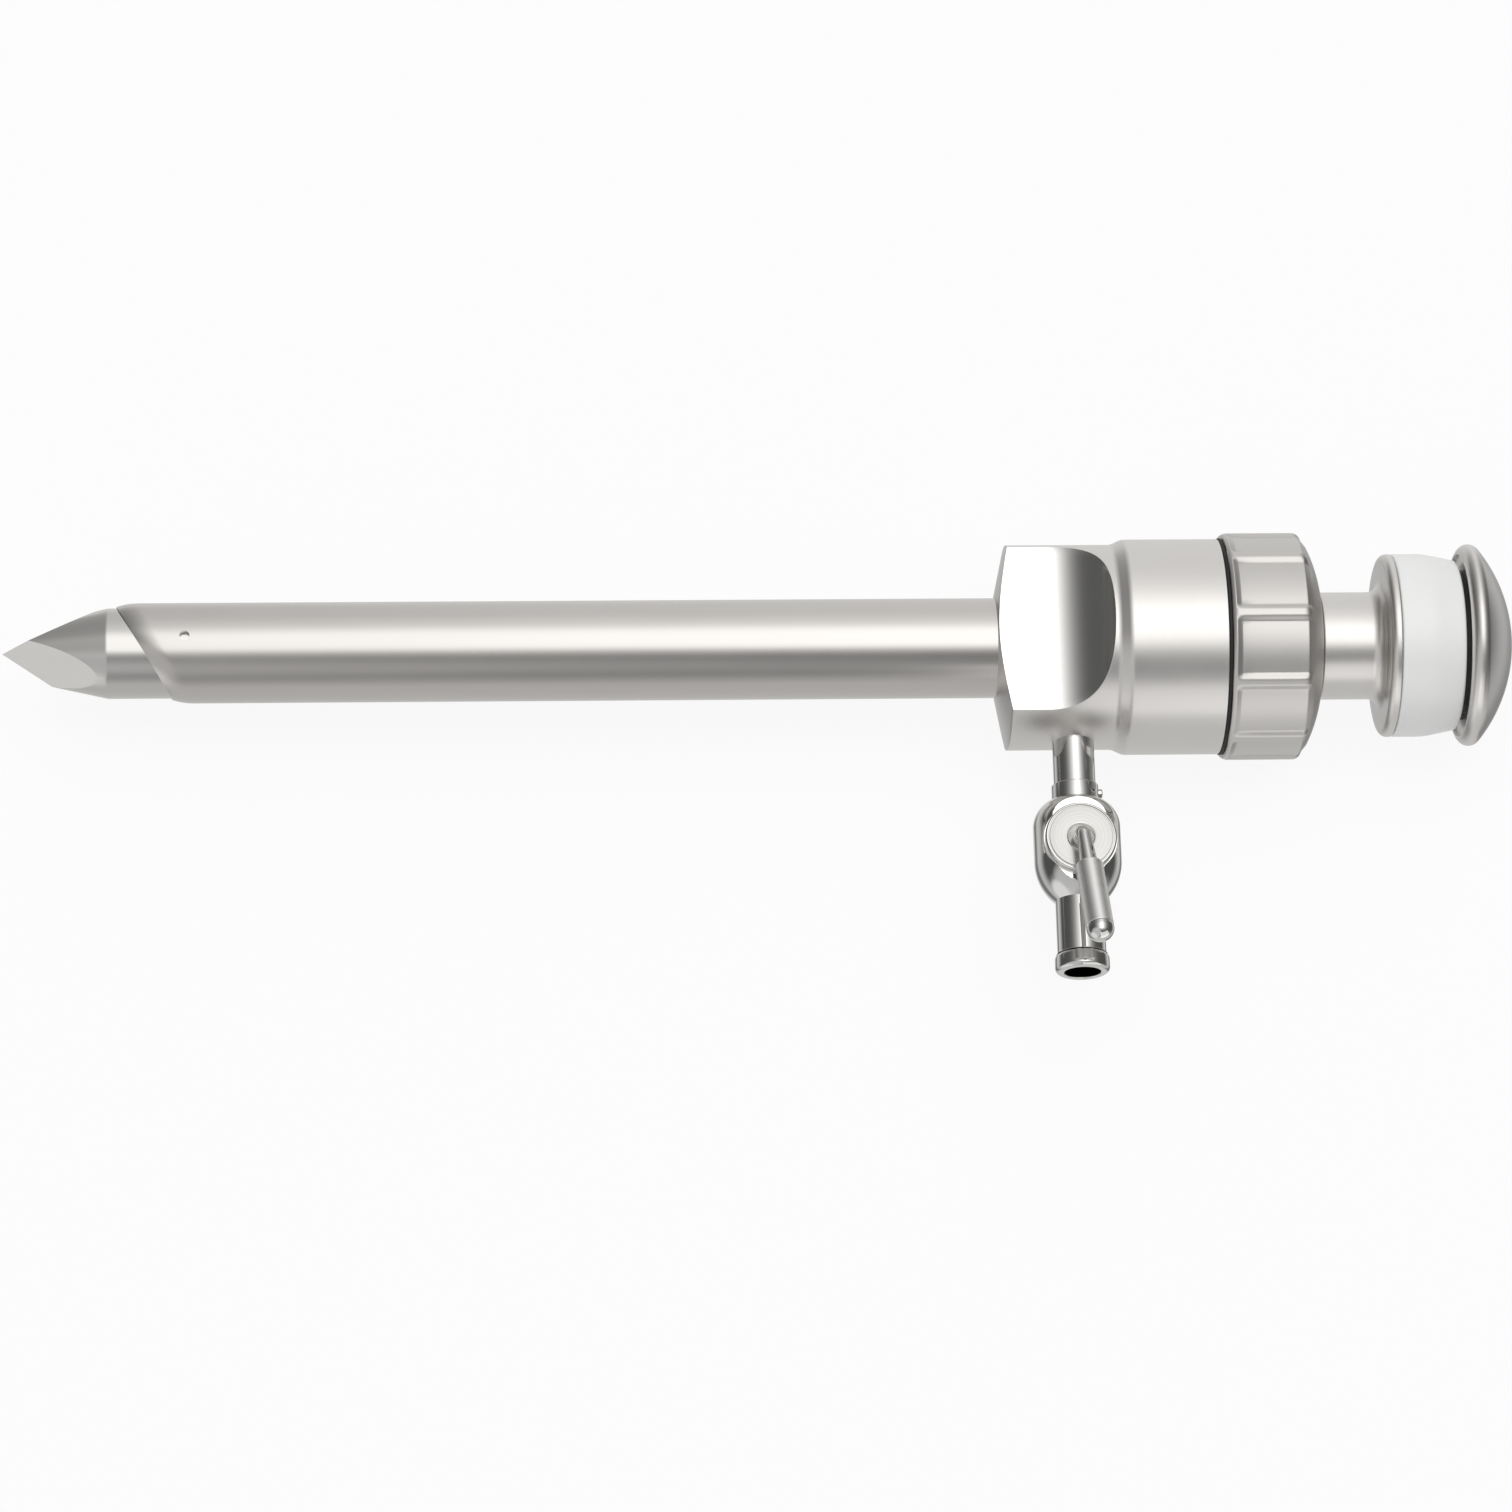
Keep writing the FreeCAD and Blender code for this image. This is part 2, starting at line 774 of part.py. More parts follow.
head_foot = body_half_depth + key_face_gap
head_top = head_foot + key_head_thickness
dimple_floor = head_top - key_dimple_depth
washer_low = -body_half_depth - key_washer_thickness
spring_low = washer_low - spring_washer_rise - spring_washer_thickness
nut_low = spring_low - key_nut_thickness
root_foot = tap_bore_radius + lever_root_wall


def make_key():
    """The tapered key with its disc head, cross bore and threaded stem."""
    groove_out = key_groove_radius + key_groove_width
    taper = (key_large_radius - key_small_radius) / (2 * body_half_depth)
    head_edge = at(head_foot, key_head_radius)
    groove_edge = at(head_top, groove_out)
    key = turned(
        at(nut_low - key_stem_overrun, 0),
        at(nut_low - key_stem_overrun, key_stem_radius),
        at(-body_half_depth, key_stem_radius),
        at(-body_half_depth, key_small_radius),
        at(head_foot, key_large_radius + taper * key_face_gap),
        head_edge,
        *rounding(head_edge, at(head_top, key_head_radius), groove_edge, key_head_round),
        groove_edge,
        at(head_top - key_groove_depth, groove_out),
        at(head_top - key_groove_depth, key_groove_radius),
        at(head_top, key_groove_radius),
        at(head_top, key_dimple_radius),
        at(dimple_floor, lever_root_radius),
        at(root_foot, lever_root_radius),
        at(root_foot, 0),
    )
    key = on_key(key)
    cross = rod(key_distance - body_radius, key_distance + body_radius, tap_bore_radius)
    return as_clocked_lever(key.cut(cross))


def make_lever_rod():
    """The lever: a root rising from the key, a bend, and a tapered rod that ends in a round knob."""
    bend = math.radians(90 - lever_slope)
    slope = math.radians(lever_slope)
    rise_top = head_top + lever_rise
    centre = FreeCAD.Vector(key_distance + lever_bend_radius, 0, rise_top)

    def around(angle):
        return centre + FreeCAD.Vector(-math.cos(angle), 0, math.sin(angle)) * lever_bend_radius

    root = on_key(rod(root_foot, rise_top, lever_root_radius))
    foot = Part.makeCircle(lever_root_radius, FreeCAD.Vector(key_distance, 0, rise_top), z_axis)
    path = Part.Wire([Part.Arc(around(0), around(bend / 2), around(bend)).toShape()])
    elbow = path.makePipeShell([Part.Wire([foot])], True, False)
    direction = FreeCAD.Vector(math.cos(slope), 0, math.sin(slope))
    bare = Part.makeCone(lever_root_radius, lever_rod_radius, lever_bare_length, around(bend), direction)
    grip_start = around(bend) + direction * lever_bare_length
    core = Part.makeCylinder(lever_rod_radius, lever_grip_length, grip_start, direction)
    grip_end = grip_start + direction * lever_grip_length
    knob = Part.makeCylinder(lever_grip_radius, lever_knob_length, grip_end, direction)
    sleeve = Part.makeCylinder(lever_grip_radius, lever_grip_length, grip_start, direction).cut(core)
    ball = Part.makeSphere(lever_grip_radius, grip_end + direction * lever_knob_length).cut(sleeve)
    lever = root.fuse([elbow, bare, core, knob, ball]).removeSplitter()
    return as_clocked_lever(lever), as_clocked_lever(sleeve)


def make_key_washer():
    return as_clocked_lever(on_key(tube(washer_low, -body_half_depth, key_washer_radius, key_stem_radius)))


def make_spring_washer():
    """The dished washer that draws the key into its taper."""
    low = spring_low
    high = low + spring_washer_rise
    dish = turned(
        at(low, key_stem_radius),
        at(high, spring_washer_radius),
        at(high + spring_washer_thickness, spring_washer_radius),
        at(low + spring_washer_thickness, key_stem_radius),
    )
    return as_clocked_lever(on_key(dish))


def make_key_nut():
    corner_radius = key_nut_across_flats / math.sqrt(3)
    corners = []
    for number in range(6):
        angle = math.radians(60 * number)
        on_circle = corner_radius * math.cos(angle), corner_radius * math.sin(angle)
        corners.append(FreeCAD.Vector(nut_low, *on_circle))
    hexagon = Part.Face(Part.makePolygon(corners + corners[:1]))
    nut = hexagon.extrude(x_axis * key_nut_thickness)
    return as_clocked_lever(on_key(nut.cut(rod(nut_low, spring_low, key_stem_radius))))


def build():
    """Every sub-part by its node's name."""
    lever_rod, lever_grip = make_lever_rod()
    pin = on_tap(collar_pin_shape())
    return {
        "cannula_sheath": make_sheath(),
        "valve_housing": make_housing(),
        "tap_pipe": make_tap_pipe().cut(pin),
        "tap_collar_pin": pin,
        "tap_body": make_tap_body(),
        "gas_outlet": make_outlet(),
        "housing_gasket": make_gasket(),
        "valve_seat": make_valve_seat(),
        "seat_magnet": make_magnet(),
        "seat_o_ring": make_o_ring(),
        "flap_hinge_pin": make_hinge_pin(),
        "valve_flap": make_flap(),
        "flap_facing": make_flap_facing(),
        "instrument_seal": make_instrument_seal(),
        "seal_washer": make_seal_washer(),
        "screw_cap": make_screw_cap(),
        "obturator_point": make_point(),
        "obturator_rod": make_rod(),
        "handle_hub": make_handle_hub(),
        "grip_ring": make_grip_ring(),
        "dome_spacer": make_spacer(),
        "dome_stud": make_dome_stud(),
        "dome_cap": make_dome_cap(),
        "tap_key": make_key(),
        "lever_rod": lever_rod,
        "lever_grip": lever_grip,
        "key_washer": make_key_washer(),
        "key_spring_washer": make_spring_washer(),
        "key_nut": make_key_nut(),
    }


os.makedirs("parts", exist_ok=True)
for name, shape in build().items():
    shape.exportStep(f"parts/{name}.step")
    state = "valid" if shape.isValid() else "INVALID"
    print(name, len(shape.Solids), "solid", round(shape.Volume, 2), "mm3", state)
print("flap rests at", round(resting_angle(), 2), "degrees, dome apex", round(dome_apex, 2))
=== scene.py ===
import math

import bmesh
import bpy
from mathutils import Matrix, Vector


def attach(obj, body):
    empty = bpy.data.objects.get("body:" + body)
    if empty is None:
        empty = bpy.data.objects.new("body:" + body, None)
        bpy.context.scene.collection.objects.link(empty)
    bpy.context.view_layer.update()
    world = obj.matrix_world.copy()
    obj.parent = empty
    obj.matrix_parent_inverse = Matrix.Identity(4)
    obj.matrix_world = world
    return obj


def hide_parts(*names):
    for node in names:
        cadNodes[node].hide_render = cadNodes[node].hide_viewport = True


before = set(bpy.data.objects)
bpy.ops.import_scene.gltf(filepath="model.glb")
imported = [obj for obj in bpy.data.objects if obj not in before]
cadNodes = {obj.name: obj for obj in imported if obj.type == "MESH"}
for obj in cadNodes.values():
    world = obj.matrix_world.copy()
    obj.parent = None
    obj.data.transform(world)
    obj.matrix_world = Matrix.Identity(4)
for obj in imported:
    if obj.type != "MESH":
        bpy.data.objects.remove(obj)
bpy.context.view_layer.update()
print("frame loaded:", len(cadNodes), "nodes")

mm = 0.001  # every size below is in millimetres, and meshes are scaled by this at the end


class Wire:  # a socket that can stand in a sum
    def __init__(self, bench, socket):
        self.bench = bench
        self.socket = socket

    def out(self, name):
        return Wire(self.bench, self.socket.node.outputs[name])

    def __add__(self, other):
        return self.bench.math("ADD", self, other)

    def __sub__(self, other):
        return self.bench.math("SUBTRACT", self, other)

    def __rsub__(self, other):
        return self.bench.math("SUBTRACT", other, self)

    def __mul__(self, other):
        return self.bench.math("MULTIPLY", self, other)

    def __truediv__(self, other):
        return self.bench.math("DIVIDE", self, other)

    def __pow__(self, other):
        return self.bench.math("POWER", self, other)


class Bench:  # makes the nodes of one tree
    def __init__(self, tree):
        self.tree = tree

    def add(self, kind, settings=None, sockets=None, out=0):
        node = self.tree.nodes.new(kind)
        for name, value in (settings or {}).items():
            if name == "stops":
                self.setStops(node.color_ramp, value)
            else:
                setattr(node, name, value)
        for name, value in (sockets or {}).items():
            if isinstance(value, Wire):
                self.tree.links.new(value.socket, node.inputs[name])
            else:
                node.inputs[name].default_value = value
        return Wire(self, node.outputs[out]) if len(node.outputs) else None

    def setStops(self, ramp, stops):
        while len(ramp.elements) < len(stops):
            ramp.elements.new(0.5)
        for element, (position, colour) in zip(ramp.elements, stops):
            element.position = position
            element.color = (*colour, 1)

    def math(self, operation, *terms):
        return self.add("ShaderNodeMath", {"operation": operation}, dict(enumerate(terms)))

    def axes(self, vector):
        split = self.add("ShaderNodeSeparateXYZ", None, {0: vector})
        return split, split.out("Y"), split.out("Z")

    def vector(self, x, y, z):
        return self.add("ShaderNodeCombineXYZ", None, {0: x, 1: y, 2: z})

    def noise(self, place, scale, detail=2.0, roughness=0.5):
        sockets = {"Vector": place, "Scale": scale, "Detail": detail, "Roughness": roughness}
        return self.add("ShaderNodeTexNoise", {"normalize": True}, sockets)

    def span(self, value, low, high, outLow=0.0, outHigh=1.0):
        sockets = {"Value": value, "From Min": low, "From Max": high, "To Min": outLow, "To Max": outHigh}
        return self.add("ShaderNodeMapRange", {"interpolation_type": "SMOOTHSTEP"}, sockets)

    def scaled(self, colour, factor):
        return self.add("ShaderNodeVectorMath", {"operation": "SCALE"}, {0: colour, "Scale": factor})

    def greyOver(self, factor, under, level):
        sockets = {"Factor": factor, "A": under, "B": (level, level, level, 1.0)}
        return self.add("ShaderNodeMix", {"data_type": "RGBA"}, sockets, out="Result")

    def bump(self, strength, distance, height):
        sockets = {"Strength": strength, "Distance": distance, "Height": height}
        return self.add("ShaderNodeBump", None, sockets)

    def mixed(self, factor, first, second):
        return self.add("ShaderNodeMixShader", None, {"Fac": factor, 1: first, 2: second})


def newMaterial(name):
    material = bpy.data.materials.new(name)
    material.use_nodes = True
    material.node_tree.nodes.clear()
    return material, Bench(material.node_tree)


# steel: colour, roughness, and how strongly the fine turning lines and the blasted grain show
steelLooks = {
    "satinSteel": dict(
        colour=(0.72, 0.70, 0.682), shade=0.05, rough=0.33, spread=0.05, lines=0.07, grain=0.14,
    ),
    "capSteel": dict(
        colour=(0.66, 0.641, 0.623), shade=0.06, rough=0.40, spread=0.05, lines=0.05, grain=0.14,
    ),
    "sheathSteel": dict(
        colour=(0.60, 0.58, 0.562), shade=0.05, rough=0.25, spread=0.04, lines=0.02, grain=0.06,
    ),
    "groundSteel": dict(
        colour=(0.62, 0.605, 0.588), shade=0.06, rough=0.20, spread=0.04, lines=0.006, grain=0.02,
    ),
    "sleeveSteel": dict(
        colour=(0.90, 0.885, 0.87), shade=0.04, rough=0.38, spread=0.04, lines=0.03, grain=0.10,
    ),
    "polishedFlat": dict(
        colour=(0.90, 0.89, 0.875), shade=0.02, rough=0.13, spread=0.03, lines=0.0, grain=0.03,
    ),
    "chromedBrass": dict(
        colour=(0.70, 0.695, 0.68), shade=0.02, rough=0.05, spread=0.02, lines=0.02, grain=0.02,
    ),
    "keyFaceSteel": dict(
        colour=(0.48, 0.472, 0.463), shade=0.04, rough=0.24, spread=0.05, lines=0.10, grain=0.03,
        rings=0.5, about=(0.009, -0.02572),
    ),
}
# how fine each texture of the steel is, per metre
steelScale = dict(lines=6000, grain=5200.0, patches=160.0, wipeAlong=90, wipeAcross=700)


def makeSteel(name, look):
    material, bench = newMaterial(name)
    place = bench.add("ShaderNodeTexCoord", out="Object")
    x, y, z = bench.axes(place)
    fine = steelScale
    outward = (y * y + z * z) ** 0.5
    along = x * fine["lines"]
    if "about" in look:  # rings round an upright axis
        across, deep = x - look["about"][0], y - look["about"][1]
        outward, along = (across * across + deep * deep) ** 0.5, 0.0
    turning = bench.noise(bench.vector(along, outward * fine["lines"], 0.0), 1.0, 3.0)
    grain = bench.noise(place, fine["grain"], 2.0)
    patches = bench.noise(place, fine["patches"], 3.0, 0.6)
    wipePlace = bench.vector(x * fine["wipeAlong"], y * fine["wipeAcross"], z * fine["wipeAcross"])
    wipe = bench.noise(wipePlace, 1.0, 2.0)
    tone = (patches - 0.5) * look["shade"] + (wipe - 0.5) * look["shade"] * 0.6 + 1.0
    if "rings" in look:
        tone = tone + (turning - 0.5) * look["rings"]
    colour = bench.scaled(look["colour"], tone)
    rough = (patches + turning - 1.0) * look["spread"] + look["rough"]
    height = turning * look["lines"] + grain * look["grain"]
    sockets = {"Base Color": colour, "Metallic": 1.0, "Roughness": rough}
    sockets["Normal"] = bench.bump(0.5, 0.00003, height)
    shader = bench.add("ShaderNodeBsdfPrincipled", None, sockets)
    bench.add("ShaderNodeOutputMaterial", None, {"Surface": shader})
    return material


softLooks = {
    "whitePlastic": dict(colour=(0.91, 0.92, 0.91), shade=0.02, rough=0.34, grain=0.06, coat=0.15),
    "blackRubber": dict(colour=(0.012, 0.012, 0.012), shade=0.3, rough=0.6, grain=0.5, coat=0.0),
    "greySilicone": dict(colour=(0.30, 0.31, 0.32), shade=0.08, rough=0.45, grain=0.25, coat=0.0),
    # near black: painted shadow for the dark gap between the white ring and the dome
    "darkSpacer": dict(colour=(0.02, 0.02, 0.02), shade=0.2, rough=0.5, grain=0.3, coat=0.0),
}
softScale = dict(grain=2600.0, patches=220.0)


def makeSoft(name, look):
    material, bench = newMaterial(name)
    place = bench.add("ShaderNodeTexCoord", out="Object")
    patches = bench.noise(place, softScale["patches"], 3.0, 0.6)
    grain = bench.noise(place, softScale["grain"], 3.0)
    colour = bench.scaled(look["colour"], (patches - 0.5) * look["shade"] + 1.0)
    sockets = {"Base Color": colour, "Roughness": (grain - 0.5) * 0.1 + look["rough"]}
    sockets["Normal"] = bench.bump(0.4, 0.00004, grain * look["grain"])
    sockets["Coat Weight"] = look["coat"]
    shader = bench.add("ShaderNodeBsdfPrincipled", None, sockets)
    bench.add("ShaderNodeOutputMaterial", None, {"Surface": shader})
    return material


materials = {name: makeSteel(name, look) for name, look in steelLooks.items()}
materials.update({name: makeSoft(name, look) for name, look in softLooks.items()})
print("materials made:", len(materials))

build = dict(turns=192, arcSteps=6, creaseDegrees=32, weld=1e-4, faceWeight=90)


def rounded(points):
    # a profile whose points may carry a third number, the radius of that corner
    done = []
    for number, point in enumerate(points):
        corner = Vector(point[:2])
        if len(point) < 3 or not point[2]:
            done.append(corner)
            continue
        back = (Vector(points[number - 1][:2]) - corner).normalized()
        on = (Vector(points[(number + 1) % len(points)][:2]) - corner).normalized()
        half = back.angle(on) / 2
        reach = point[2] / math.tan(half)
        centre = corner + (back + on).normalized() * point[2] / math.sin(half)
        start = corner + back * reach - centre
        end = corner + on * reach - centre
        sweep = start.angle_signed(end)
        for step in range(build["arcSteps"] + 1):
            share = step / build["arcSteps"]
            turn = Matrix.Rotation(-sweep * share, 2)
            done.append(centre + turn @ start)
    return [(p.x, p.y) for p in done]


def skin(sheet, rows, closed=True, around=True):
    # quads between rows of vertices, which may meet in a pole
    pairs = list(zip(rows, rows[1:] + rows[:1])) if closed else list(zip(rows, rows[1:]))
    for low, high in pairs:
        count = len(low)
        for number in range(count if around else count - 1):
            following = (number + 1) % count
            corners = []
            for vertex in (low[number], low[following], high[following], high[number]):
                if vertex not in corners:
                    corners.append(vertex)
            if len(corners) > 2 and sheet.faces.get(corners) is None:
                sheet.faces.new(corners)


def turned(profile, turns=None):
    # a piece turned about X, from a profile of (along, out) points
    turns = turns or build["turns"]
    sheet = bmesh.new()
    rows = []
    for along, out in rounded(profile):
        if out < 1e-6:
            rows.append([sheet.verts.new((along, 0, 0))] * turns)
            continue
        row = []
        for number in range(turns):
            angle = 2 * math.pi * number / turns
            row.append(sheet.verts.new((along, out * math.sin(angle), out * math.cos(angle))))
        rows.append(row)
    skin(sheet, rows)
    return sheet


def asObject(name, sheet):
    bmesh.ops.recalc_face_normals(sheet, faces=sheet.faces)
    mesh = bpy.data.meshes.new(name)
    sheet.to_mesh(mesh)
    sheet.free()
    made = bpy.data.objects.new(name, mesh)
    bpy.context.scene.collection.objects.link(made)
    return made


def baked(made):
    # the object with its modifiers turned into plain mesh
    bpy.context.view_layer.update()
    deps = bpy.context.evaluated_depsgraph_get()
    mesh = bpy.data.meshes.new_from_object(made.evaluated_get(deps))
    old = made.data
    made.modifiers.clear()
    made.data = mesh
    bpy.data.meshes.remove(old)
    return made


def combined(made, other, operation):
    modifier = made.modifiers.new("join", "BOOLEAN")
    modifier.operation = operation
    modifier.solver = "EXACT"
    modifier.object = other
    baked(made)
    bpy.data.objects.remove(other)


def softened(made, width, degrees, segments):
    modifier = made.modifiers.new("edge", "BEVEL")
    modifier.width = width
    modifier.segments = segments
    modifier.limit_method = "ANGLE"
    modifier.angle_limit = math.radians(degrees)
    modifier.harden_normals = False
    baked(made)


def finished(made, finish, body, nodes, where=None, crease=None):
    # puts a piece in its place, shades it, gives it its finish and its body
    sheet = bmesh.new()
    sheet.from_mesh(made.data)
    bmesh.ops.remove_doubles(sheet, verts=sheet.verts, dist=build["weld"])
    placing = Matrix.Scale(mm, 4) @ (where or Matrix.Identity(4))
    bmesh.ops.transform(sheet, matrix=placing, verts=sheet.verts)
    bmesh.ops.recalc_face_normals(sheet, faces=sheet.faces)
    sheet.to_mesh(made.data)
    sheet.free()
    made.data.shade_smooth()
    made.data.set_sharp_from_angle(angle=math.radians(crease or build["creaseDegrees"]))
    weights = made.modifiers.new("shade", "WEIGHTED_NORMAL")
    weights.keep_sharp = True
    weights.weight = build["faceWeight"]
    baked(made)
    finishes = finish if isinstance(finish, list) else [finish]
    made.data.materials.clear()
    for each in finishes:
        made.data.materials.append(materials[each])
    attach(made, body)
    if nodes:
        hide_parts(*nodes)
    return made


def newTree(name, inputs):
    # an empty node group for a modifier, with named inputs
    tree = bpy.data.node_groups.new(name, "GeometryNodeTree")
    tree.interface.new_socket(name="Geometry", in_out="INPUT", socket_type="NodeSocketGeometry")
    for label, kind in inputs.items():
        tree.interface.new_socket(name=label, in_out="INPUT", socket_type="NodeSocket" + kind)
    tree.interface.new_socket(name="Geometry", in_out="OUTPUT", socket_type="NodeSocketGeometry")
    bench = Bench(tree)
    return tree, bench, bench.add("NodeGroupInput")


def closeTree(bench, given, shape):
    # gives the shape its material and makes it the group's result
    sockets = {"Geometry": shape, "Material": given.out("Material")}
    finish = bench.add("GeometryNodeSetMaterial", None, sockets)
    bench.add("NodeGroupOutput", None, {"Geometry": finish})


def grown(made, tree, values):
    # runs a node group on the object and keeps the result as plain mesh
    modifier = made.modifiers.new(tree.name, "NODES")
    modifier.node_group = tree
    for item in tree.interface.items_tree:
        if item.in_out == "INPUT" and item.name in values:
            modifier[item.identifier] = values[item.name]
    return baked(made)


def makeRoundPattern():
    # one sector of a piece repeated about the X axis
    inputs = {"Count": "Int", "Clock": "Float", "Weld": "Float", "Material": "Material"}
    tree, bench, given = newTree("roundPattern", inputs)
    sockets = {"Count": given.out("Count"), "Offset": (0, 0, 0)}
    points = bench.add("GeometryNodeMeshLine", {"mode": "OFFSET"}, sockets)
    index = bench.add("GeometryNodeInputIndex")
    angle = index * (2 * math.pi) / given.out("Count") + given.out("Clock")
    sockets = {"Points": points, "Instance": given.out("Geometry")}
    sockets["Rotation"] = bench.vector(angle, 0.0, 0.0)
    copies = bench.add("GeometryNodeInstanceOnPoints", None, sockets)
    solid = bench.add("GeometryNodeRealizeInstances", None, {"Geometry": copies})
    sockets = {"Geometry": solid, "Distance": given.out("Weld")}
    welded = bench.add("GeometryNodeMergeByDistance", None, sockets)
    closeTree(bench, given, welded)
    return tree


def makeThreadTree():
    # a screw thread's ridge along a helix about the X axis
    inputs = {name: "Float" for name in ("Radius", "Pitch", "Turns", "Depth", "Start")}
    inputs["Material"] = "Material"
    tree, bench, given = newTree("threadRidge", inputs)
    sockets = {
        "Resolution": 90,
        "Rotations": given.out("Turns"),
        "Start Radius": given.out("Radius"),
        "End Radius": given.out("Radius"),
        "Height": given.out("Turns") * given.out("Pitch"),
    }
    helix = bench.add("GeometryNodeCurveSpiral", None, sockets)
    sockets = {"Geometry": helix, "Rotation": (0, math.pi / 2, 0)}
    sockets["Translation"] = bench.vector(given.out("Start"), 0.0, 0.0)
    lying = bench.add("GeometryNodeTransform", None, sockets)
    sockets = {"Resolution": 3, "Radius": given.out("Depth")}
    ridge = bench.add("GeometryNodeCurvePrimitiveCircle", None, sockets)
    sockets = {"Curve": lying, "Profile Curve": ridge, "Fill Caps": True}
    swept = bench.add("GeometryNodeCurveToMesh", None, sockets)
    solid = bench.add("GeometryNodeRealizeInstances", None, {"Geometry": swept})
    closeTree(bench, given, solid)
    return tree


roundPattern = makeRoundPattern()
threadTree = makeThreadTree()
print("node groups made")

# sheath: a thin tube with an oblique bevelled mouth and a vent hole
sheath = dict(
    radius=6.0, bore=5.45, length=105.0, rake=6.6, mouthClock=75.0, lip=5.58, bevel=2.6, bevelSteps=16,
    lead=1.3, seatEnd=5.0, seatRadius=5.8, shaftRows=(-90.0, -80, -60, -40, -20, -0.3), ventRadius=0.6,
    ventAt=-96.7, drillFrom=4, drillTo=8, drillTurns=32,
)


def makeSheath():
    s = sheath
    profile = [("mouth", 0.0, s["bore"]), ("mouth", 0.0, s["lip"])]
    for step in range(1, s["bevelSteps"] + 1):
        share = step / s["bevelSteps"]  # the bevel fades into the tube
        out = s["radius"] - (s["radius"] - s["lip"]) * (1 - share) ** 2
        profile.append(("mouth", s["bevel"] * share, out))
    profile += [("mouth", s["bevel"] * s["lead"], s["radius"])]
    profile += [("body", along, s["radius"]) for along in s["shaftRows"]]
    profile += [("body", 0.0, s["radius"]), ("body", 0.0, s["seatRadius"])]
    profile += [("body", s["seatEnd"], s["seatRadius"]), ("body", s["seatEnd"], s["bore"])]
    profile += [("body", s["shaftRows"][0], s["bore"])]
    sheet = bmesh.new()
    rows = []
    for part, along, out in profile:
        row = []
        for number in range(build["turns"]):
            angle = 2 * math.pi * number / build["turns"]
            x = along
            if part == "mouth":
                lean = (1 - math.cos(angle - math.radians(s["mouthClock"]))) / 2
                x = -s["length"] + s["rake"] * lean + along
            row.append(sheet.verts.new((x, out * math.sin(angle), out * math.cos(angle))))
        rows.append(row)
    skin(sheet, rows)
    tube = asObject("sheathTube", sheet)
    drill = turned([
        (s["drillFrom"], 0), (s["drillFrom"], s["ventRadius"]), (s["drillTo"], s["ventRadius"]),
        (s["drillTo"], 0),
    ], s["drillTurns"])
    upright = Matrix.Translation((s["ventAt"], 0, 0)) @ Matrix.Rotation(-math.pi / 2, 4, "Y")
    bmesh.ops.transform(drill, matrix=upright, verts=drill.verts)
    combined(tube, asObject("drill", drill), "DIFFERENCE")
    finished(tube, "sheathSteel", "cannula", ["cannula_sheath"])


makeSheath()
print("sheath made")

# obturator's point: a blunt cone ground with three flats that meet on the axis
point = dict(
    tip=-118.6, coneLength=12.6, coneSlope=0.22, coneRound=1.5, radius=5.4, facetSlope=0.45,
    clocks=(-55.0, 72.0, -150.0), length=30, edge=0.05, crease=12, rodEnd=49.0,
)


def makePoint():
    p = point
    tip = p["tip"]
    coneEnd, end = tip + p["coneLength"], tip + p["length"]
    nose = p["radius"] - p["coneSlope"] * p["coneLength"]
    shank = [(coneEnd, p["radius"], p["coneRound"]), (end, p["radius"]), (end, 0)]
    sheet = turned([(tip, 0), (tip, nose)] + shank)
    lean = math.atan(p["facetSlope"])
    for clock in p["clocks"]:
        turn = math.radians(clock)
        level = math.cos(lean)
        normal = Vector((-math.sin(lean), level * math.sin(turn), level * math.cos(turn)))
        every = sheet.verts[:] + sheet.edges[:] + sheet.faces[:]
        cut = bmesh.ops.bisect_plane(
            sheet, geom=every, plane_co=(tip, 0, 0), plane_no=normal, clear_outer=True
        )
        edges = [part for part in cut["geom_cut"] if isinstance(part, bmesh.types.BMEdge)]
        bmesh.ops.edgenet_fill(sheet, edges=edges)
    made = asObject("groundPoint", sheet)
    softened(made, p["edge"], p["crease"], 2)
    finished(made, "groundSteel", "obturator", ["obturator_point"], crease=p["crease"])
    rod = turned([(end, 0), (end, p["radius"]), (p["rodEnd"], p["radius"]), (p["rodEnd"], 0)])
    finished(asObject("obturatorRod", rod), "groundSteel", "obturator", ["obturator_rod"])


makePoint()
print("point and rod made")

# housing: front cone, waisted front with two finger flats that run out hollow, barrel, threaded spigot
housing = dict(
    mouth=6.0, coneLength=1.4, waist=12.32, waistEnd=14.0, chamfer=1.35, chamferRound=1.5, barrel=12.94,
    barrelEnd=26.9, barrelRound=0.15, edge=0.09, crease=24, spigot=11.99, spigotRound=0.3,
    threadRoot=11.45, spigotEnd=34.1, seat=11.0, seatFace=30.9, chamber=10.2,
    chamberFront=13.5, bore=5.6, flatHeight=6.65, flatLength=6.0, runoutRadius=7.8,
    threadPitch=1.5, threadDepth=0.42, threadGap=0.6,
)
housingSteps = dict(flat=24, round=56, cone=12, runout=28, rows=(1.4, 1.65, 2.6, 3.7, 4.8))
onFlat = dict(gap=0.06, tilt=0.2)  # how close to the flat a face counts as polished


def housingRadius(x):
    h = housing
    if x < h["coneLength"]:
        return h["mouth"] + (h["waist"] - h["mouth"]) * x / h["coneLength"]
    return h["waist"]


def flatAt(x):
    h = housing
    if x <= h["flatLength"]:
        return h["flatHeight"]
    rest = h["runoutRadius"] ** 2 - (x - h["flatLength"]) ** 2
    return h["flatHeight"] + h["runoutRadius"] - math.sqrt(max(rest, 0))


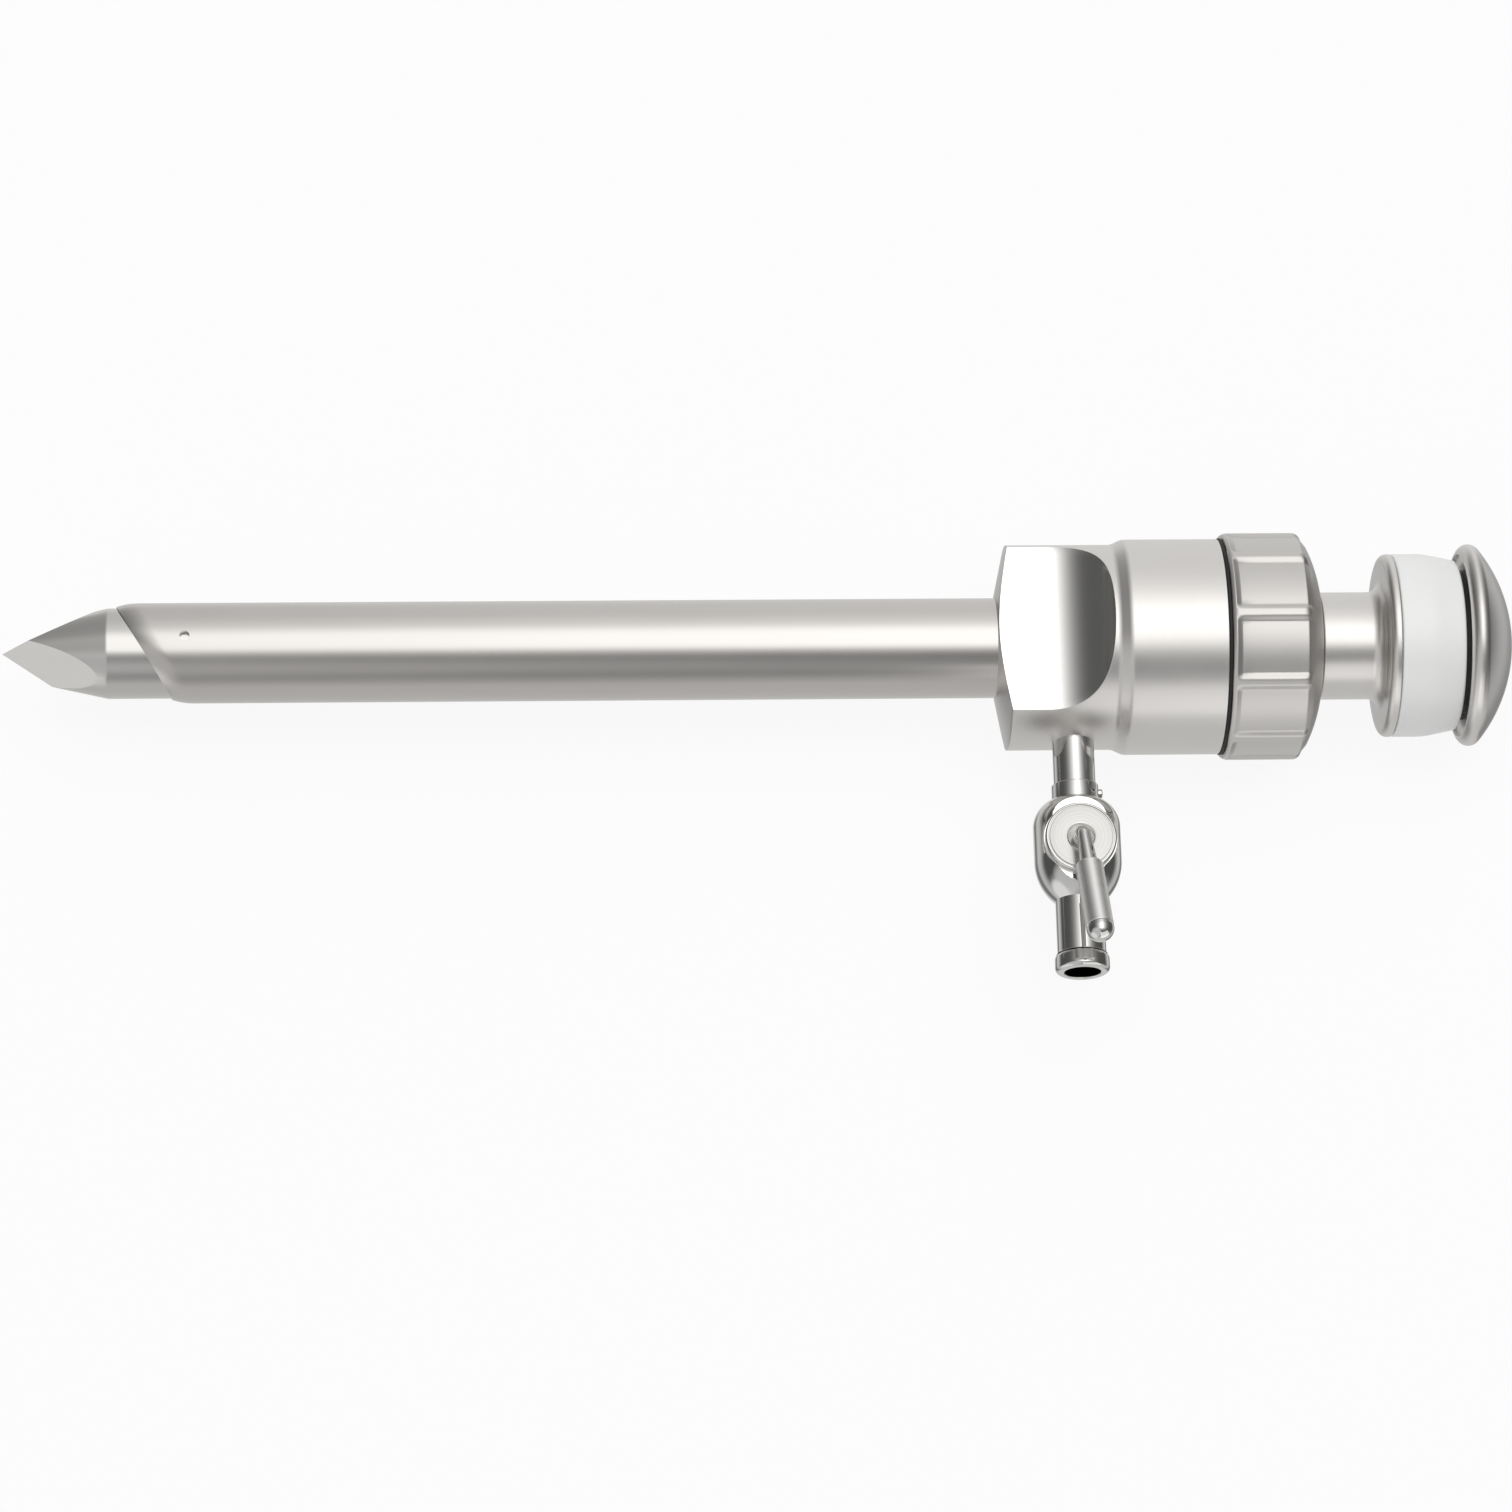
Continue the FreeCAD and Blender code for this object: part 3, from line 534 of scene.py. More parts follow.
def housingRow(sheet, x, radius, height):
    # a ring of vertices with a flat above and below, or round all over where the flats have run out
    steps = housingSteps
    half = math.acos(min(height / radius, 1.0)) if radius > height else 0.0
    row = []
    for side in (0, math.pi):
        turn = -1 if side else 1
        for step in range(steps["flat"] + 1):
            across = -1 + 2 * step / steps["flat"]
            if half:
                y, z = radius * math.sin(half) * across, height
            else:
                y, z = 0.0, radius
            row.append(sheet.verts.new((x, y * turn, z * turn)))
        for step in range(1, steps["round"]):
            angle = side + half + (math.pi - 2 * half) * step / steps["round"]
            row.append(sheet.verts.new((x, radius * math.sin(angle), radius * math.cos(angle))))
    return row


def makeHousing():
    h = housing
    coneStart = h["coneLength"] * (h["flatHeight"] - h["mouth"]) / (h["waist"] - h["mouth"])
    drop = h["waist"] - h["flatHeight"]
    flatEnd = h["flatLength"] + math.sqrt(h["runoutRadius"] ** 2 - (h["runoutRadius"] - drop) ** 2)
    coneSteps, runoutSteps = housingSteps["cone"], housingSteps["runout"]
    along = [0.0]
    coneRest = h["coneLength"] - coneStart
    along += [coneStart + coneRest * (step / coneSteps) ** 2 for step in range(coneSteps)]
    along += housingSteps["rows"]
    for step in range(runoutSteps + 1):
        along.append(h["flatLength"] + (flatEnd - h["flatLength"]) * (1 - (1 - step / runoutSteps) ** 2))
    sheet = bmesh.new()
    rows = [housingRow(sheet, x, housingRadius(x), flatAt(x)) for x in along]
    rear = [
        (h["waistEnd"], h["waist"], h["chamferRound"]),
        (h["waistEnd"] + h["chamfer"], h["barrel"], h["chamferRound"]),
        (h["barrelEnd"], h["barrel"], h["barrelRound"]), (h["barrelEnd"], h["threadRoot"]),
        (h["spigotEnd"], h["threadRoot"], h["spigotRound"]),
        (h["spigotEnd"], h["seat"]), (h["seatFace"], h["seat"]), (h["seatFace"], h["chamber"]),
        (h["chamberFront"], h["chamber"]), (h["chamberFront"], h["bore"]), (0.0, h["bore"]),
    ]
    leadIn = [(flatEnd, h["waist"])]
    for x, radius in rounded(leadIn + rear)[1:]:
        rows.append(housingRow(sheet, x, radius, 2 * h["barrel"]))
    skin(sheet, rows)
    bmesh.ops.remove_doubles(sheet, verts=sheet.verts, dist=build["weld"])
    bmesh.ops.dissolve_degenerate(sheet, edges=sheet.edges, dist=build["weld"])
    made = asObject("gripHousing", sheet)
    softened(made, h["edge"], h["crease"], 2)
    finished(made, ["satinSteel", "polishedFlat"], "cannula", ["valve_housing"], crease=h["crease"])
    for face in made.data.polygons:
        place = face.center / mm
        gap = abs(abs(place.z) - flatAt(place.x))
        near = gap < onFlat["gap"] and abs(face.normal.y) < onFlat["tilt"]
        if near and coneStart < place.x < flatEnd:
            face.material_index = 1
    thread = asObject("spigotThread", bmesh.new())
    turns = (h["spigotEnd"] - h["barrelEnd"] - 2 * h["threadGap"]) / h["threadPitch"]
    sizes = {"Radius": h["spigot"] - h["threadDepth"], "Pitch": h["threadPitch"], "Turns": turns}
    sizes.update({"Depth": h["threadDepth"], "Start": h["barrelEnd"] + h["threadGap"]})
    grown(thread, threadTree, {**sizes, "Material": materials["satinSteel"]})
    finished(thread, "satinSteel", "cannula", [])


makeHousing()
print("housing made")

gasket = dict(start=26.9, end=27.3, radius=13.04, bore=12.06, round=0.12)


def makeGasket():
    g = gasket
    washer = turned([
        (g["start"], g["bore"]), (g["end"], g["bore"]), (g["end"], g["radius"], g["round"]),
        (g["start"], g["radius"], g["round"]),
    ])
    finished(asObject("blackGasket", washer), "blackRubber", "cannula", ["housing_gasket"])


makeGasket()

# screw cap: one sector with its flute, repeated round the axis
cap = dict(
    front=27.32, end=38.95, floor=35.85, radius=13.62, bore=12.06, hole=5.7, hub=6.5, leadLength=0.7,
    leadDepth=0.25, coneLength=2.3, shoulder=0.9, crown=0.35, flutes=10, rib=2.4, depth=0.45, wall=0.9,
    lean=0.9, start=0.35, back=0.3, tail=10.5, clock=21.2, blend=0.22, leadRun=0.45,
    rows=(30.0, 32.0, 34.0, 35.2), weld=0.002,
)
capSteps = dict(lead=10, run=4, shoulder=10, rear=10, wall=11, floor=6)


def capOutline():
    # the cap's outside from its rounded front edge to the hub, as points along and out
    c, steps = cap, capSteps
    corner = Vector((c["end"] - c["coneLength"], c["radius"]))
    hub = Vector((c["end"], c["hub"]))
    down = (hub - corner).normalized()
    startAt, endAt = corner + Vector((-c["shoulder"], 0)), corner + down * c["shoulder"]
    points = []
    for step in range(steps["lead"] + 1):
        share = step / steps["lead"]
        out = c["radius"] - c["leadDepth"] * (1 - share) ** 2
        points.append((c["front"] + c["leadLength"] * share, out))
    fluteStart = c["front"] + c["leadLength"]
    for step in range(1, steps["run"] + 1):
        points.append((fluteStart + c["leadRun"] * step / steps["run"], c["radius"]))
    points += [(x, c["radius"]) for x in c["rows"]]
    for step in range(steps["shoulder"]):
        share = step / steps["shoulder"]
        points.append(tuple(startAt.lerp(corner, share).lerp(corner.lerp(endAt, share), share)))
    middle = (endAt + hub) / 2 + Vector((-down.y, down.x)) * 2 * c["crown"]
    for step in range(steps["rear"] + 1):
        share = step / steps["rear"]
        points.append(tuple(endAt.lerp(middle, share).lerp(middle.lerp(hub, share), share)))
    return points


def ease(value):
    value = max(0.0, min(1.0, value))
    return value * value * (3 - 2 * value)


def fluteFloor(x):
    # the flute's depth along the cap: it starts with a lean and runs out down the rear face
    c = cap
    floorOut = c["radius"] - c["depth"]
    floorEnd = c["end"] - c["coneLength"] - c["back"]
    tailSlope = (floorOut - c["tail"]) / (c["end"] - floorEnd)
    front = c["radius"] - (x - c["front"] - c["start"]) * c["depth"] / c["lean"]
    tail = floorOut - max(x - floorEnd, 0.0) * tailSlope
    share = max(0.0, min(1.0, 0.5 + 0.5 * (front - tail) / c["blend"]))
    return tail + (front - tail) * share + c["blend"] * share * (1 - share)


def makeCap():
    c, steps = cap, capSteps
    pitch = 2 * math.pi / c["flutes"]
    points = capOutline()
    wall = c["wall"] / c["radius"]
    brow = pitch / 2 - c["rib"] / 2 / c["radius"] + wall
    half = [pitch / 2, (pitch / 2 + brow) / 2]
    half += [brow - wall * step / steps["wall"] for step in range(steps["wall"] + 1)]
    inner = half[-1]
    half += [inner * (1 - step / steps["floor"]) for step in range(1, steps["floor"] + 1)]
    angles = [-value for value in half] + list(reversed(half[:-1]))
    inside = [(c["end"], c["hole"]), (c["floor"], c["hole"])]
    inside += [(c["floor"], c["bore"]), (c["front"], c["bore"])]
    sheet = bmesh.new()
    rows = []
    for number, (x, radius) in enumerate(points + inside):
        row = []
        for angle in angles:
            out = radius
            if 0 < number < len(points):
                share = ease((brow - abs(angle)) / wall)
                out = radius - max(radius - max(fluteFloor(x), c["hub"]), 0.0) * share
            row.append(sheet.verts.new((x, out * math.sin(angle), out * math.cos(angle))))
        rows.append(row)
    skin(sheet, rows, around=False)
    made = asObject("flutedCap", sheet)
    copies = {"Count": c["flutes"], "Clock": math.radians(c["clock"]), "Weld": c["weld"]}
    grown(made, roundPattern, {**copies, "Material": materials["capSteel"]})
    finished(made, "capSteel", "cap", ["screw_cap"], crease=60)


makeCap()
print("gasket and cap made")

# obturator handle: neck and flange in one piece, white ring, near-black spacer as painted shadow in the gap,
# dome
handle = dict(
    neckStart=39.0, neck=6.45, neckRound=0.25, fillet=1.6, flangeStart=46.5, flange=11.0, flangeEnd=47.8,
    flangeFront=0.8, flangeRear=0.15, core=6.0, hubEnd=55.8, spacer=9.0, spacerEnd=56.4, ringStart=47.85,
    ringStraight=3.8, ringEnd=55.6, ringIn=0.8, ringGap=0.05, ringFront=0.3, ringCrown=9.0, ringRear=0.4,
    dome=12.15, domeRim=1.2, domeHeight=6.0, recess=0.35, arcSteps=24,
)


def makeHandle():
    h = handle
    hub = turned([
        (h["neckStart"], 0), (h["neckStart"], h["neck"], h["neckRound"]),
        (h["flangeStart"], h["neck"], h["fillet"]), (h["flangeStart"], h["flange"], h["flangeFront"]),
        (h["flangeEnd"], h["flange"], h["flangeRear"]), (h["flangeEnd"], h["core"]),
        (h["hubEnd"], h["core"]), (h["hubEnd"], 0),
    ])
    finished(asObject("neckAndFlange", hub), "satinSteel", "obturator", ["handle_hub", "dome_stud"])
    inner = h["core"] + h["ringGap"]
    ring = turned([
        (h["ringStart"], inner), (h["ringStart"], h["flange"], h["ringFront"]),
        (h["ringStart"] + h["ringStraight"], h["flange"], h["ringCrown"]),
        (h["ringEnd"], h["flange"] - h["ringIn"], h["ringRear"]), (h["ringEnd"], inner),
    ])
    finished(asObject("whiteRing", ring), "whitePlastic", "grip", ["grip_ring"])
    # a near-black disc in the gap before the dome, standing in for the shadow there: painted shadow
    spacer = turned([
        (h["hubEnd"], 0), (h["hubEnd"], h["spacer"]), (h["spacerEnd"], h["spacer"]), (h["spacerEnd"], 0),
    ])
    finished(asObject("shadowSpacer", spacer), "darkSpacer", "obturator", ["dome_spacer"])
    rim = h["domeRim"]
    back = h["spacerEnd"] - h["recess"]
    rimAt, rimOut = back + rim, h["dome"] - rim
    crown = h["domeHeight"] + h["recess"] - rim
    sphere = (crown ** 2 + rimOut ** 2 - rim ** 2) / (2 * (crown - rim))
    centre = h["spacerEnd"] + h["domeHeight"] - sphere
    lean = math.atan2(rimOut, rimAt - centre)
    profile = [(h["spacerEnd"], 0), (h["spacerEnd"], rimOut), (back, rimOut)]
    for step in range(1, h["arcSteps"] + 1):
        angle = math.pi + (lean - math.pi) * step / h["arcSteps"]
        profile.append((rimAt + rim * math.cos(angle), rimOut + rim * math.sin(angle)))
    for step in range(1, h["arcSteps"] + 1):
        angle = lean * (1 - step / h["arcSteps"])
        profile.append((centre + sphere * math.cos(angle), sphere * math.sin(angle)))
    finished(asObject("domeCap", turned(profile)), "satinSteel", "obturator", ["dome_cap"], crease=60)


makeHandle()
print("handle made")

# gas tap: sizes along its own axis, which leaves the instrument's at the station
tap = dict(
    station=9.0, pipeStart=7.2, pipe=2.5, collarStart=17.72, collar=2.8, bodyStart=19.62, shoulder=3.4,
    body=5.2, tail=5.0, bodyEnd=32.22, halfDepth=4.1, boss=4.35, bodyEdge=0.22, keyAt=25.72, outlet=2.9,
    flangeFace=38.87, mouthFace=41.07, flange=3.25, flangeRound=0.6, socket=2.15, socketDepth=7.5, bore=1.4,
    lugReach=0.6, lugWidth=2.2, lugLength=1.2, pinRadius=0.55, pinTop=3.25, pinLength=1.5, pinBack=0.95,
    plug=3.2, plugReach=6, pipeEdge=0.06, collarEdge=0.12, collarIn=0.6, foot=1.2, footIn=0.3,
    mouthEdge=0.15, lugEdge=0.1,
)
tapFrame = Matrix.Translation((tap["station"], 0, 0)) @ Matrix.Rotation(-math.pi / 2, 4, "Z")
lever = dict(
    clock=4.0, head=4.25, headFoot=4.12, headTop=5.02, headRound=0.25, groove=3.75, grooveWidth=0.25,
    grooveDepth=0.2, dimple=1.65, dimpleDepth=0.9, root=0.85, rootFoot=2.1, rise=1.0, bend=1.6, slope=20.0,
    bare=4.3, tip=1.1, grip=1.65, gripLength=9.2, knob=0.2, around=64, nutFlats=4.6, nutThick=1.8,
    nutChamfer=0.25, nutEnd=0.9, stem=1.2, stemOut=0.3, washer=3.4, washerThick=0.5, spring=3.0,
    springRise=0.5, springThick=0.35, fit=0.05, edge=0.05, dimpleEdge=0.3, rootIn=0.6, bendSteps=12,
    ballSteps=16, ballEdge=0.1, sleeveFit=0.01, sleeveShort=0.02, sleeveEdge=0.12,
)
keyFrame = tapFrame @ Matrix.Translation((tap["keyAt"], 0, 0))
keyFrame = keyFrame @ Matrix.Rotation(math.radians(lever["clock"]), 4, "Z")
uprightTurn = Matrix.Rotation(-math.pi / 2, 4, "Y")
uprightKey = keyFrame @ uprightTurn


def swell(low, high, steps=14):
    # points of an arc from low to high that runs level where it meets high
    run, rise = high[0] - low[0], high[1] - low[1]
    radius = (run * run + rise * rise) / (2 * rise)
    whole = 2 * math.atan(rise / run)
    points = []
    for step in range(steps):
        angle = whole * (1 - step / steps)
        points.append((high[0] - radius * math.sin(angle), high[1] - radius * (1 - math.cos(angle))))
    return points + [high]


def makeTapPipe():
    t = tap
    collarEnd = t["bodyStart"] + t["collarIn"]
    pipe = turned([
        (t["pipeStart"], t["bore"]), (t["pipeStart"], t["pipe"]),
        (t["collarStart"], t["pipe"], t["pipeEdge"]), (t["collarStart"], t["collar"], t["collarEdge"]),
        (collarEnd, t["collar"], 0.1), (collarEnd, t["bore"]),
    ], 96)
    finished(asObject("tapPipe", pipe), "chromedBrass", "cannula", ["tap_pipe"], where=tapFrame)
    start = t["pinTop"] - t["pinLength"]
    side = t["pinRadius"]
    pin = turned([(start, 0), (start, side), (t["pinTop"], side, 0.15), (t["pinTop"], 0)], 32)
    place = tapFrame @ Matrix.Translation((t["bodyStart"] - t["pinBack"], 0, 0))
    place = place @ Matrix.Rotation(math.pi / 2, 4, "Z")
    finished(asObject("collarPin", pin), "chromedBrass", "cannula", ["tap_collar_pin"], where=place)


def makeTapBody():
    t = tap
    head, shoulder = (t["bodyStart"], t["collar"]), (t["bodyStart"] + t["shoulder"], t["body"])
    hip, tail = (t["bodyEnd"] - t["tail"], t["body"]), (t["bodyEnd"], t["outlet"])
    profile = [(t["bodyStart"], 0)] + swell(head, shoulder)
    profile += list(reversed(swell(tail, hip))) + [(t["bodyEnd"], 0)]
    made = asObject("tapBody", turned(profile, 128))
    keyPlace = Matrix.Translation((t["keyAt"], 0, 0))
    slab = bmesh.new()
    size = Matrix.Diagonal((60, 60, 2 * t["halfDepth"], 1))
    bmesh.ops.create_cube(slab, size=1.0, matrix=keyPlace @ size)
    combined(made, asObject("slab", slab), "INTERSECT")
    for name, radius, reach, turns, operation in (
        ("boss", t["boss"], t["halfDepth"], 128, "UNION"),
        ("plug", t["plug"], t["plugReach"], 96, "DIFFERENCE"),
    ):
        sheet = turned([(-reach, 0), (-reach, radius), (reach, radius), (reach, 0)], turns)
        bmesh.ops.transform(sheet, matrix=keyPlace @ uprightTurn, verts=sheet.verts)
        combined(made, asObject(name, sheet), operation)
    softened(made, t["bodyEdge"], 28, 4)
    finished(made, "chromedBrass", "cannula", ["tap_body"], where=tapFrame, crease=40)


def makeOutlet():
    t = tap
    socketStart = t["mouthFace"] - t["socketDepth"]
    foot = t["bodyEnd"] - t["foot"]
    tube = turned([
        (foot, t["bore"]), (foot, t["outlet"] - t["footIn"]), (t["bodyEnd"], t["outlet"]),
        (t["flangeFace"], t["outlet"], t["mouthEdge"]), (t["flangeFace"], t["flange"], t["flangeRound"]),
        (t["mouthFace"], t["flange"], t["flangeRound"]), (t["mouthFace"], t["socket"], t["mouthEdge"]),
        (socketStart, t["socket"]), (socketStart, t["bore"]),
    ], 128)
    made = asObject("luerOutlet", tube)
    lug = bmesh.new()
    lugAt = t["mouthFace"] - t["flangeRound"] - t["lugLength"] / 2
    middle = (t["outlet"] + t["flange"] + t["lugReach"]) / 2
    size = (t["lugLength"], t["lugWidth"], t["flange"] + t["lugReach"] - t["outlet"], 1)
    place = Matrix.Translation((lugAt, 0, middle)) @ Matrix.Diagonal(size)
    bmesh.ops.create_cube(lug, size=1.0, matrix=place)
    lugs = asObject("luerLugs", lug)
    copies = {"Count": 2, "Clock": 0.0, "Weld": 0.0}
    grown(lugs, roundPattern, {**copies, "Material": materials["chromedBrass"]})
    combined(made, lugs, "UNION")
    softened(made, t["lugEdge"], 40, 2)
    finished(made, "chromedBrass", "cannula", ["gas_outlet"], where=tapFrame, crease=45)


def makeKey():
    k = lever
    seat = -tap["halfDepth"]
    low = seat - k["washerThick"] - k["springRise"] - k["springThick"] - k["nutThick"]
    plug = tap["plug"] - k["fit"]
    grooveOut = k["groove"] + k["grooveWidth"]
    grooveFloor = k["headTop"] - k["grooveDepth"]
    key = turned([
        (low - k["stemOut"], 0), (low - k["stemOut"], k["stem"], 0.15), (seat, k["stem"]), (seat, plug),
        (k["headFoot"], plug), (k["headFoot"], k["head"]), (k["headTop"], k["head"], k["headRound"]),
        (k["headTop"], grooveOut, k["edge"]), (grooveFloor, grooveOut), (grooveFloor, k["groove"]),
        (k["headTop"], k["groove"], k["edge"]), (k["headTop"], k["dimple"], k["dimpleEdge"]),
        (k["headTop"] - k["dimpleDepth"], k["root"]), (k["rootFoot"], k["root"]), (k["rootFoot"], 0),
    ], 144)
    made = asObject("tapKey", key)
    finished(made, ["chromedBrass", "keyFaceSteel"], "tap_key", ["tap_key"], where=uprightKey)
    for face in made.data.polygons:
        if face.normal.z > 0.98:
            face.material_index = 1
    makeNut(low)
    under = seat - k["washerThick"]
    washer = turned([
        (under, k["stem"]), (under, k["washer"], 0.1), (seat, k["washer"], 0.1), (seat, k["stem"]),
    ], 96)
    finished(asObject("keyWasher", washer), "chromedBrass", "tap_key", ["key_washer"], where=uprightKey)
    base = under - k["springRise"] - k["springThick"]
    dish = turned([
        (base, k["stem"]), (base + k["springRise"], k["spring"]),
        (base + k["springRise"] + k["springThick"], k["spring"]), (base + k["springThick"], k["stem"]),
    ], 96)
    spring = asObject("springWasher", dish)
    finished(spring, "chromedBrass", "tap_key", ["key_spring_washer"], where=uprightKey)


def makeNut(low):
    # one sixth of a hexagon nut with chamfered corners, repeated round the stem
    k = lever
    half = math.pi / 6
    corner = k["nutFlats"] / 2 / math.cos(half)
    top = low + k["nutThick"]
    angles = [half * (step / 2 - 1) for step in range(5)]
    end, inset = k["nutEnd"], k["nutChamfer"]
    levels = ((low, end), (low + inset, 1.0), (top - inset, 1.0), (top, end))
    sector = bmesh.new()
    rows = []
    for along, share in levels:
        outer = []
        for angle in angles:
            out = k["nutFlats"] / 2 / math.cos(angle)
            out = min(out, corner * (share + 0.02) if share < 1 else out)
            outer.append(sector.verts.new((along, out * math.sin(angle), out * math.cos(angle))))
        rows.append(outer)
    skin(sector, rows, closed=False, around=False)
    for row, along in ((rows[0], low), (rows[-1], top)):
        inner = []
        for angle in angles:
            place = (along, k["stem"] * math.sin(angle), k["stem"] * math.cos(angle))
            inner.append(sector.verts.new(place))
        skin(sector, [row, inner], closed=False, around=False)
    nut = asObject("keyNut", sector)
    copies = {"Count": 6, "Clock": 0.0, "Weld": 0.002}
    grown(nut, roundPattern, {**copies, "Material": materials["chromedBrass"]})
    finished(nut, "chromedBrass", "tap_key", ["key_nut"], where=uprightKey, crease=25)


def makeLever():
    k = lever
    slope = math.radians(k["slope"])
    bend = math.pi / 2 - slope
    riseTop = k["headTop"] + k["rise"]
    centre = Vector((k["bend"], 0, riseTop))
    straight = [Vector((0, 0, height)) for height in (k["rootFoot"], k["headTop"] - k["rootIn"])]
    path = [(place, k["root"], 0.0) for place in straight]
    for step in range(k["bendSteps"] + 1):
        angle = bend * step / k["bendSteps"]
        place = centre + Vector((-math.cos(angle), 0, math.sin(angle))) * k["bend"]
        path.append((place, k["root"], angle))
    direction = Vector((math.cos(slope), 0, math.sin(slope)))
    gripStart = path[-1][0] + direction * k["bare"]
    gripEnd = gripStart + direction * k["gripLength"]
    path += [(gripStart, k["tip"], bend), (gripEnd, k["tip"], bend)]
    sheet = bmesh.new()

    def ringAt(place, radius, angle):
        side = Vector((0, 1, 0))
        up = Vector((math.sin(angle), 0, math.cos(angle))).cross(side)
        row = []
        for number in range(k["around"]):
            turn = 2 * math.pi * number / k["around"]
            corner = place + side * radius * math.cos(turn) + up * radius * math.sin(turn)
            row.append(sheet.verts.new(corner))
        return row

    rows = [[sheet.verts.new(path[0][0])] * k["around"]]
    rows += [ringAt(place, radius, angle) for place, radius, angle in path]
    rows.append(ringAt(gripEnd, k["grip"] - k["ballEdge"], bend))
    rows.append(ringAt(gripEnd + direction * k["ballEdge"], k["grip"], bend))
    ballAt = gripEnd + direction * k["knob"]
    for step in range(k["ballSteps"]):
        angle = math.pi / 2 * step / k["ballSteps"]
        place = ballAt + direction * k["grip"] * math.sin(angle)
        rows.append(ringAt(place, k["grip"] * math.cos(angle), bend))
    rows.append([sheet.verts.new(ballAt + direction * k["grip"])] * k["around"])
    skin(sheet, rows, closed=False)
    finished(asObject("leverRod", sheet), "chromedBrass", "tap_key", ["lever_rod"], where=keyFrame)
    inner = k["tip"] + k["sleeveFit"]
    end = k["gripLength"] - k["sleeveShort"]
    edge = k["sleeveEdge"]
    sleeve = turned([(0, inner), (0, k["grip"], edge), (end, k["grip"], edge), (end, inner)], 96)
    lying = keyFrame @ Matrix.Translation(gripStart) @ Matrix.Rotation(-slope, 4, "Y")
    finished(asObject("leverSleeve", sleeve), "sleeveSteel", "tap_key", ["lever_grip"], where=lying)


makeTapPipe()
makeTapBody()
makeOutlet()
makeKey()
makeLever()
print("gas tap made")

# inner pieces keep their CAD shape
innerFinish = {
    "valve_seat": "satinSteel",
    "seat_magnet": "chromedBrass",
    "seat_o_ring": "blackRubber",
    "flap_hinge_pin": "satinSteel",
    "valve_flap": "satinSteel",
    "flap_facing": "greySilicone",
    "instrument_seal": "greySilicone",
    "seal_washer": "satinSteel",
}
for node, finish in innerFinish.items():
    mesh = cadNodes[node].data
    mesh.materials.clear()
    mesh.materials.append(materials[finish])
print("inner pieces finished")

# studio: white paper, a soft box above and a small card beside the handle, in metres
studio = dict(
    floor=-13.68 * mm, floorSize=12.0, floorColour=(0.92, 0.92, 0.92), floorGlow=0.90,
    boxPower=1.6, boxSize=(0.9, 0.5), boxPlace=(0.0, 0.10, 0.75),
    nearPower=0.016, nearSize=(0.095, 0.075), nearPlace=(0.056, -0.106, 0.028), nearAt=(0.030, 0.0, 0.0),
)
# tent: brightness round the instrument's axis, where 0.5 is straight up and more is towards the back
tentBands = [
    (0.00, 0.72), (0.08, 0.70), (0.15, 0.66), (0.208, 0.66), (0.258, 0.42), (0.29, 0.24), (0.33, 0.19),
    (0.385, 0.18), (0.412, 0.28), (0.440, 0.80), (0.465, 1.95), (0.560, 1.95), (0.615, 1.20), (0.69, 0.93),
    (0.76, 0.91), (0.85, 0.86), (1.00, 0.72),
]
# dark sides, a card towards the tap's side and a small one for the point; directions are unit vectors
tent = dict(
    dark=0.10, leftFrom=-0.06, leftWidth=1.0, rightFrom=0.20, rightWidth=0.8, lowEdges=(0.20, 0.60),
    lowShare=0.2, frontEdges=(-0.65, -0.20), underHeight=(0.62, 0.80), underSpread=(0.25, 0.45),
    underShare=0.8, card=1.35, cardTowards=(-0.577, -0.676, 0.447), cardEdges=(0.72, 0.92),
    cardFade=(-0.18, 0.12), cardLeft=0.38, spot=0.93, spotTowards=(-0.658, -0.729, -0.188),
    spotEdges=(0.89, 0.97),
)


def falling(bench, value, start, width):
    # rises quickly from nothing at the start, then ever more slowly
    sockets = {"Value": value, "From Min": start, "From Max": start + width, "To Min": 1.0, "To Max": 0.0}
    return 1.0 - bench.add("ShaderNodeMapRange", None, sockets) ** 2.0


def makeTent(bench):
    t = tent
    x, y, z = bench.axes(bench.add("ShaderNodeTexCoord", out="Generated"))

    def towards(direction, edges):
        px, py, pz = direction
        return bench.span(x * px + y * py + z * pz, *edges)

    angle = bench.math("ARCTAN2", y, z) / (2 * math.pi) + 0.5
    stops = [(at, (level, level, level * 0.99)) for at, level in tentBands]
    light = bench.add("ShaderNodeValToRGB", {"stops": stops}, {"Fac": angle})
    left = falling(bench, x * -1.0, t["leftFrom"], t["leftWidth"])
    right = falling(bench, x, t["rightFrom"], t["rightWidth"])
    low = bench.span(z * -1.0, *t["lowEdges"], 1.0, t["lowShare"])
    front = bench.span(y, *t["frontEdges"])
    side = bench.math("MAXIMUM", left, right) * low * front
    spread = bench.span(bench.math("ABSOLUTE", x), *t["underSpread"])
    under = bench.span(z * -1.0, *t["underHeight"]) * spread * t["underShare"]
    light = bench.greyOver(bench.math("MAXIMUM", side, under), light, t["dark"])
    card = towards(t["cardTowards"], t["cardEdges"]) * bench.span(x, *t["cardFade"], t["cardLeft"], 1.0)
    light = bench.greyOver(card, light, t["card"])
    return bench.greyOver(towards(t["spotTowards"], t["spotEdges"]), light, t["spot"])


def makeWorld():
    world = bpy.data.worlds.new("lightTent")
    bpy.context.scene.world = world
    world.use_nodes = True
    world.node_tree.nodes.clear()
    bench = Bench(world.node_tree)
    rays = bench.add("ShaderNodeLightPath")
    shown = bench.add("ShaderNodeBackground", None, {"Color": (1, 1, 1, 1), "Strength": 1.0})
    lit = bench.add("ShaderNodeBackground", None, {"Color": makeTent(bench), "Strength": 1.0})
    both = bench.mixed(rays.out("Is Camera Ray"), lit, shown)
    bench.add("ShaderNodeOutputWorld", None, {"Surface": both})


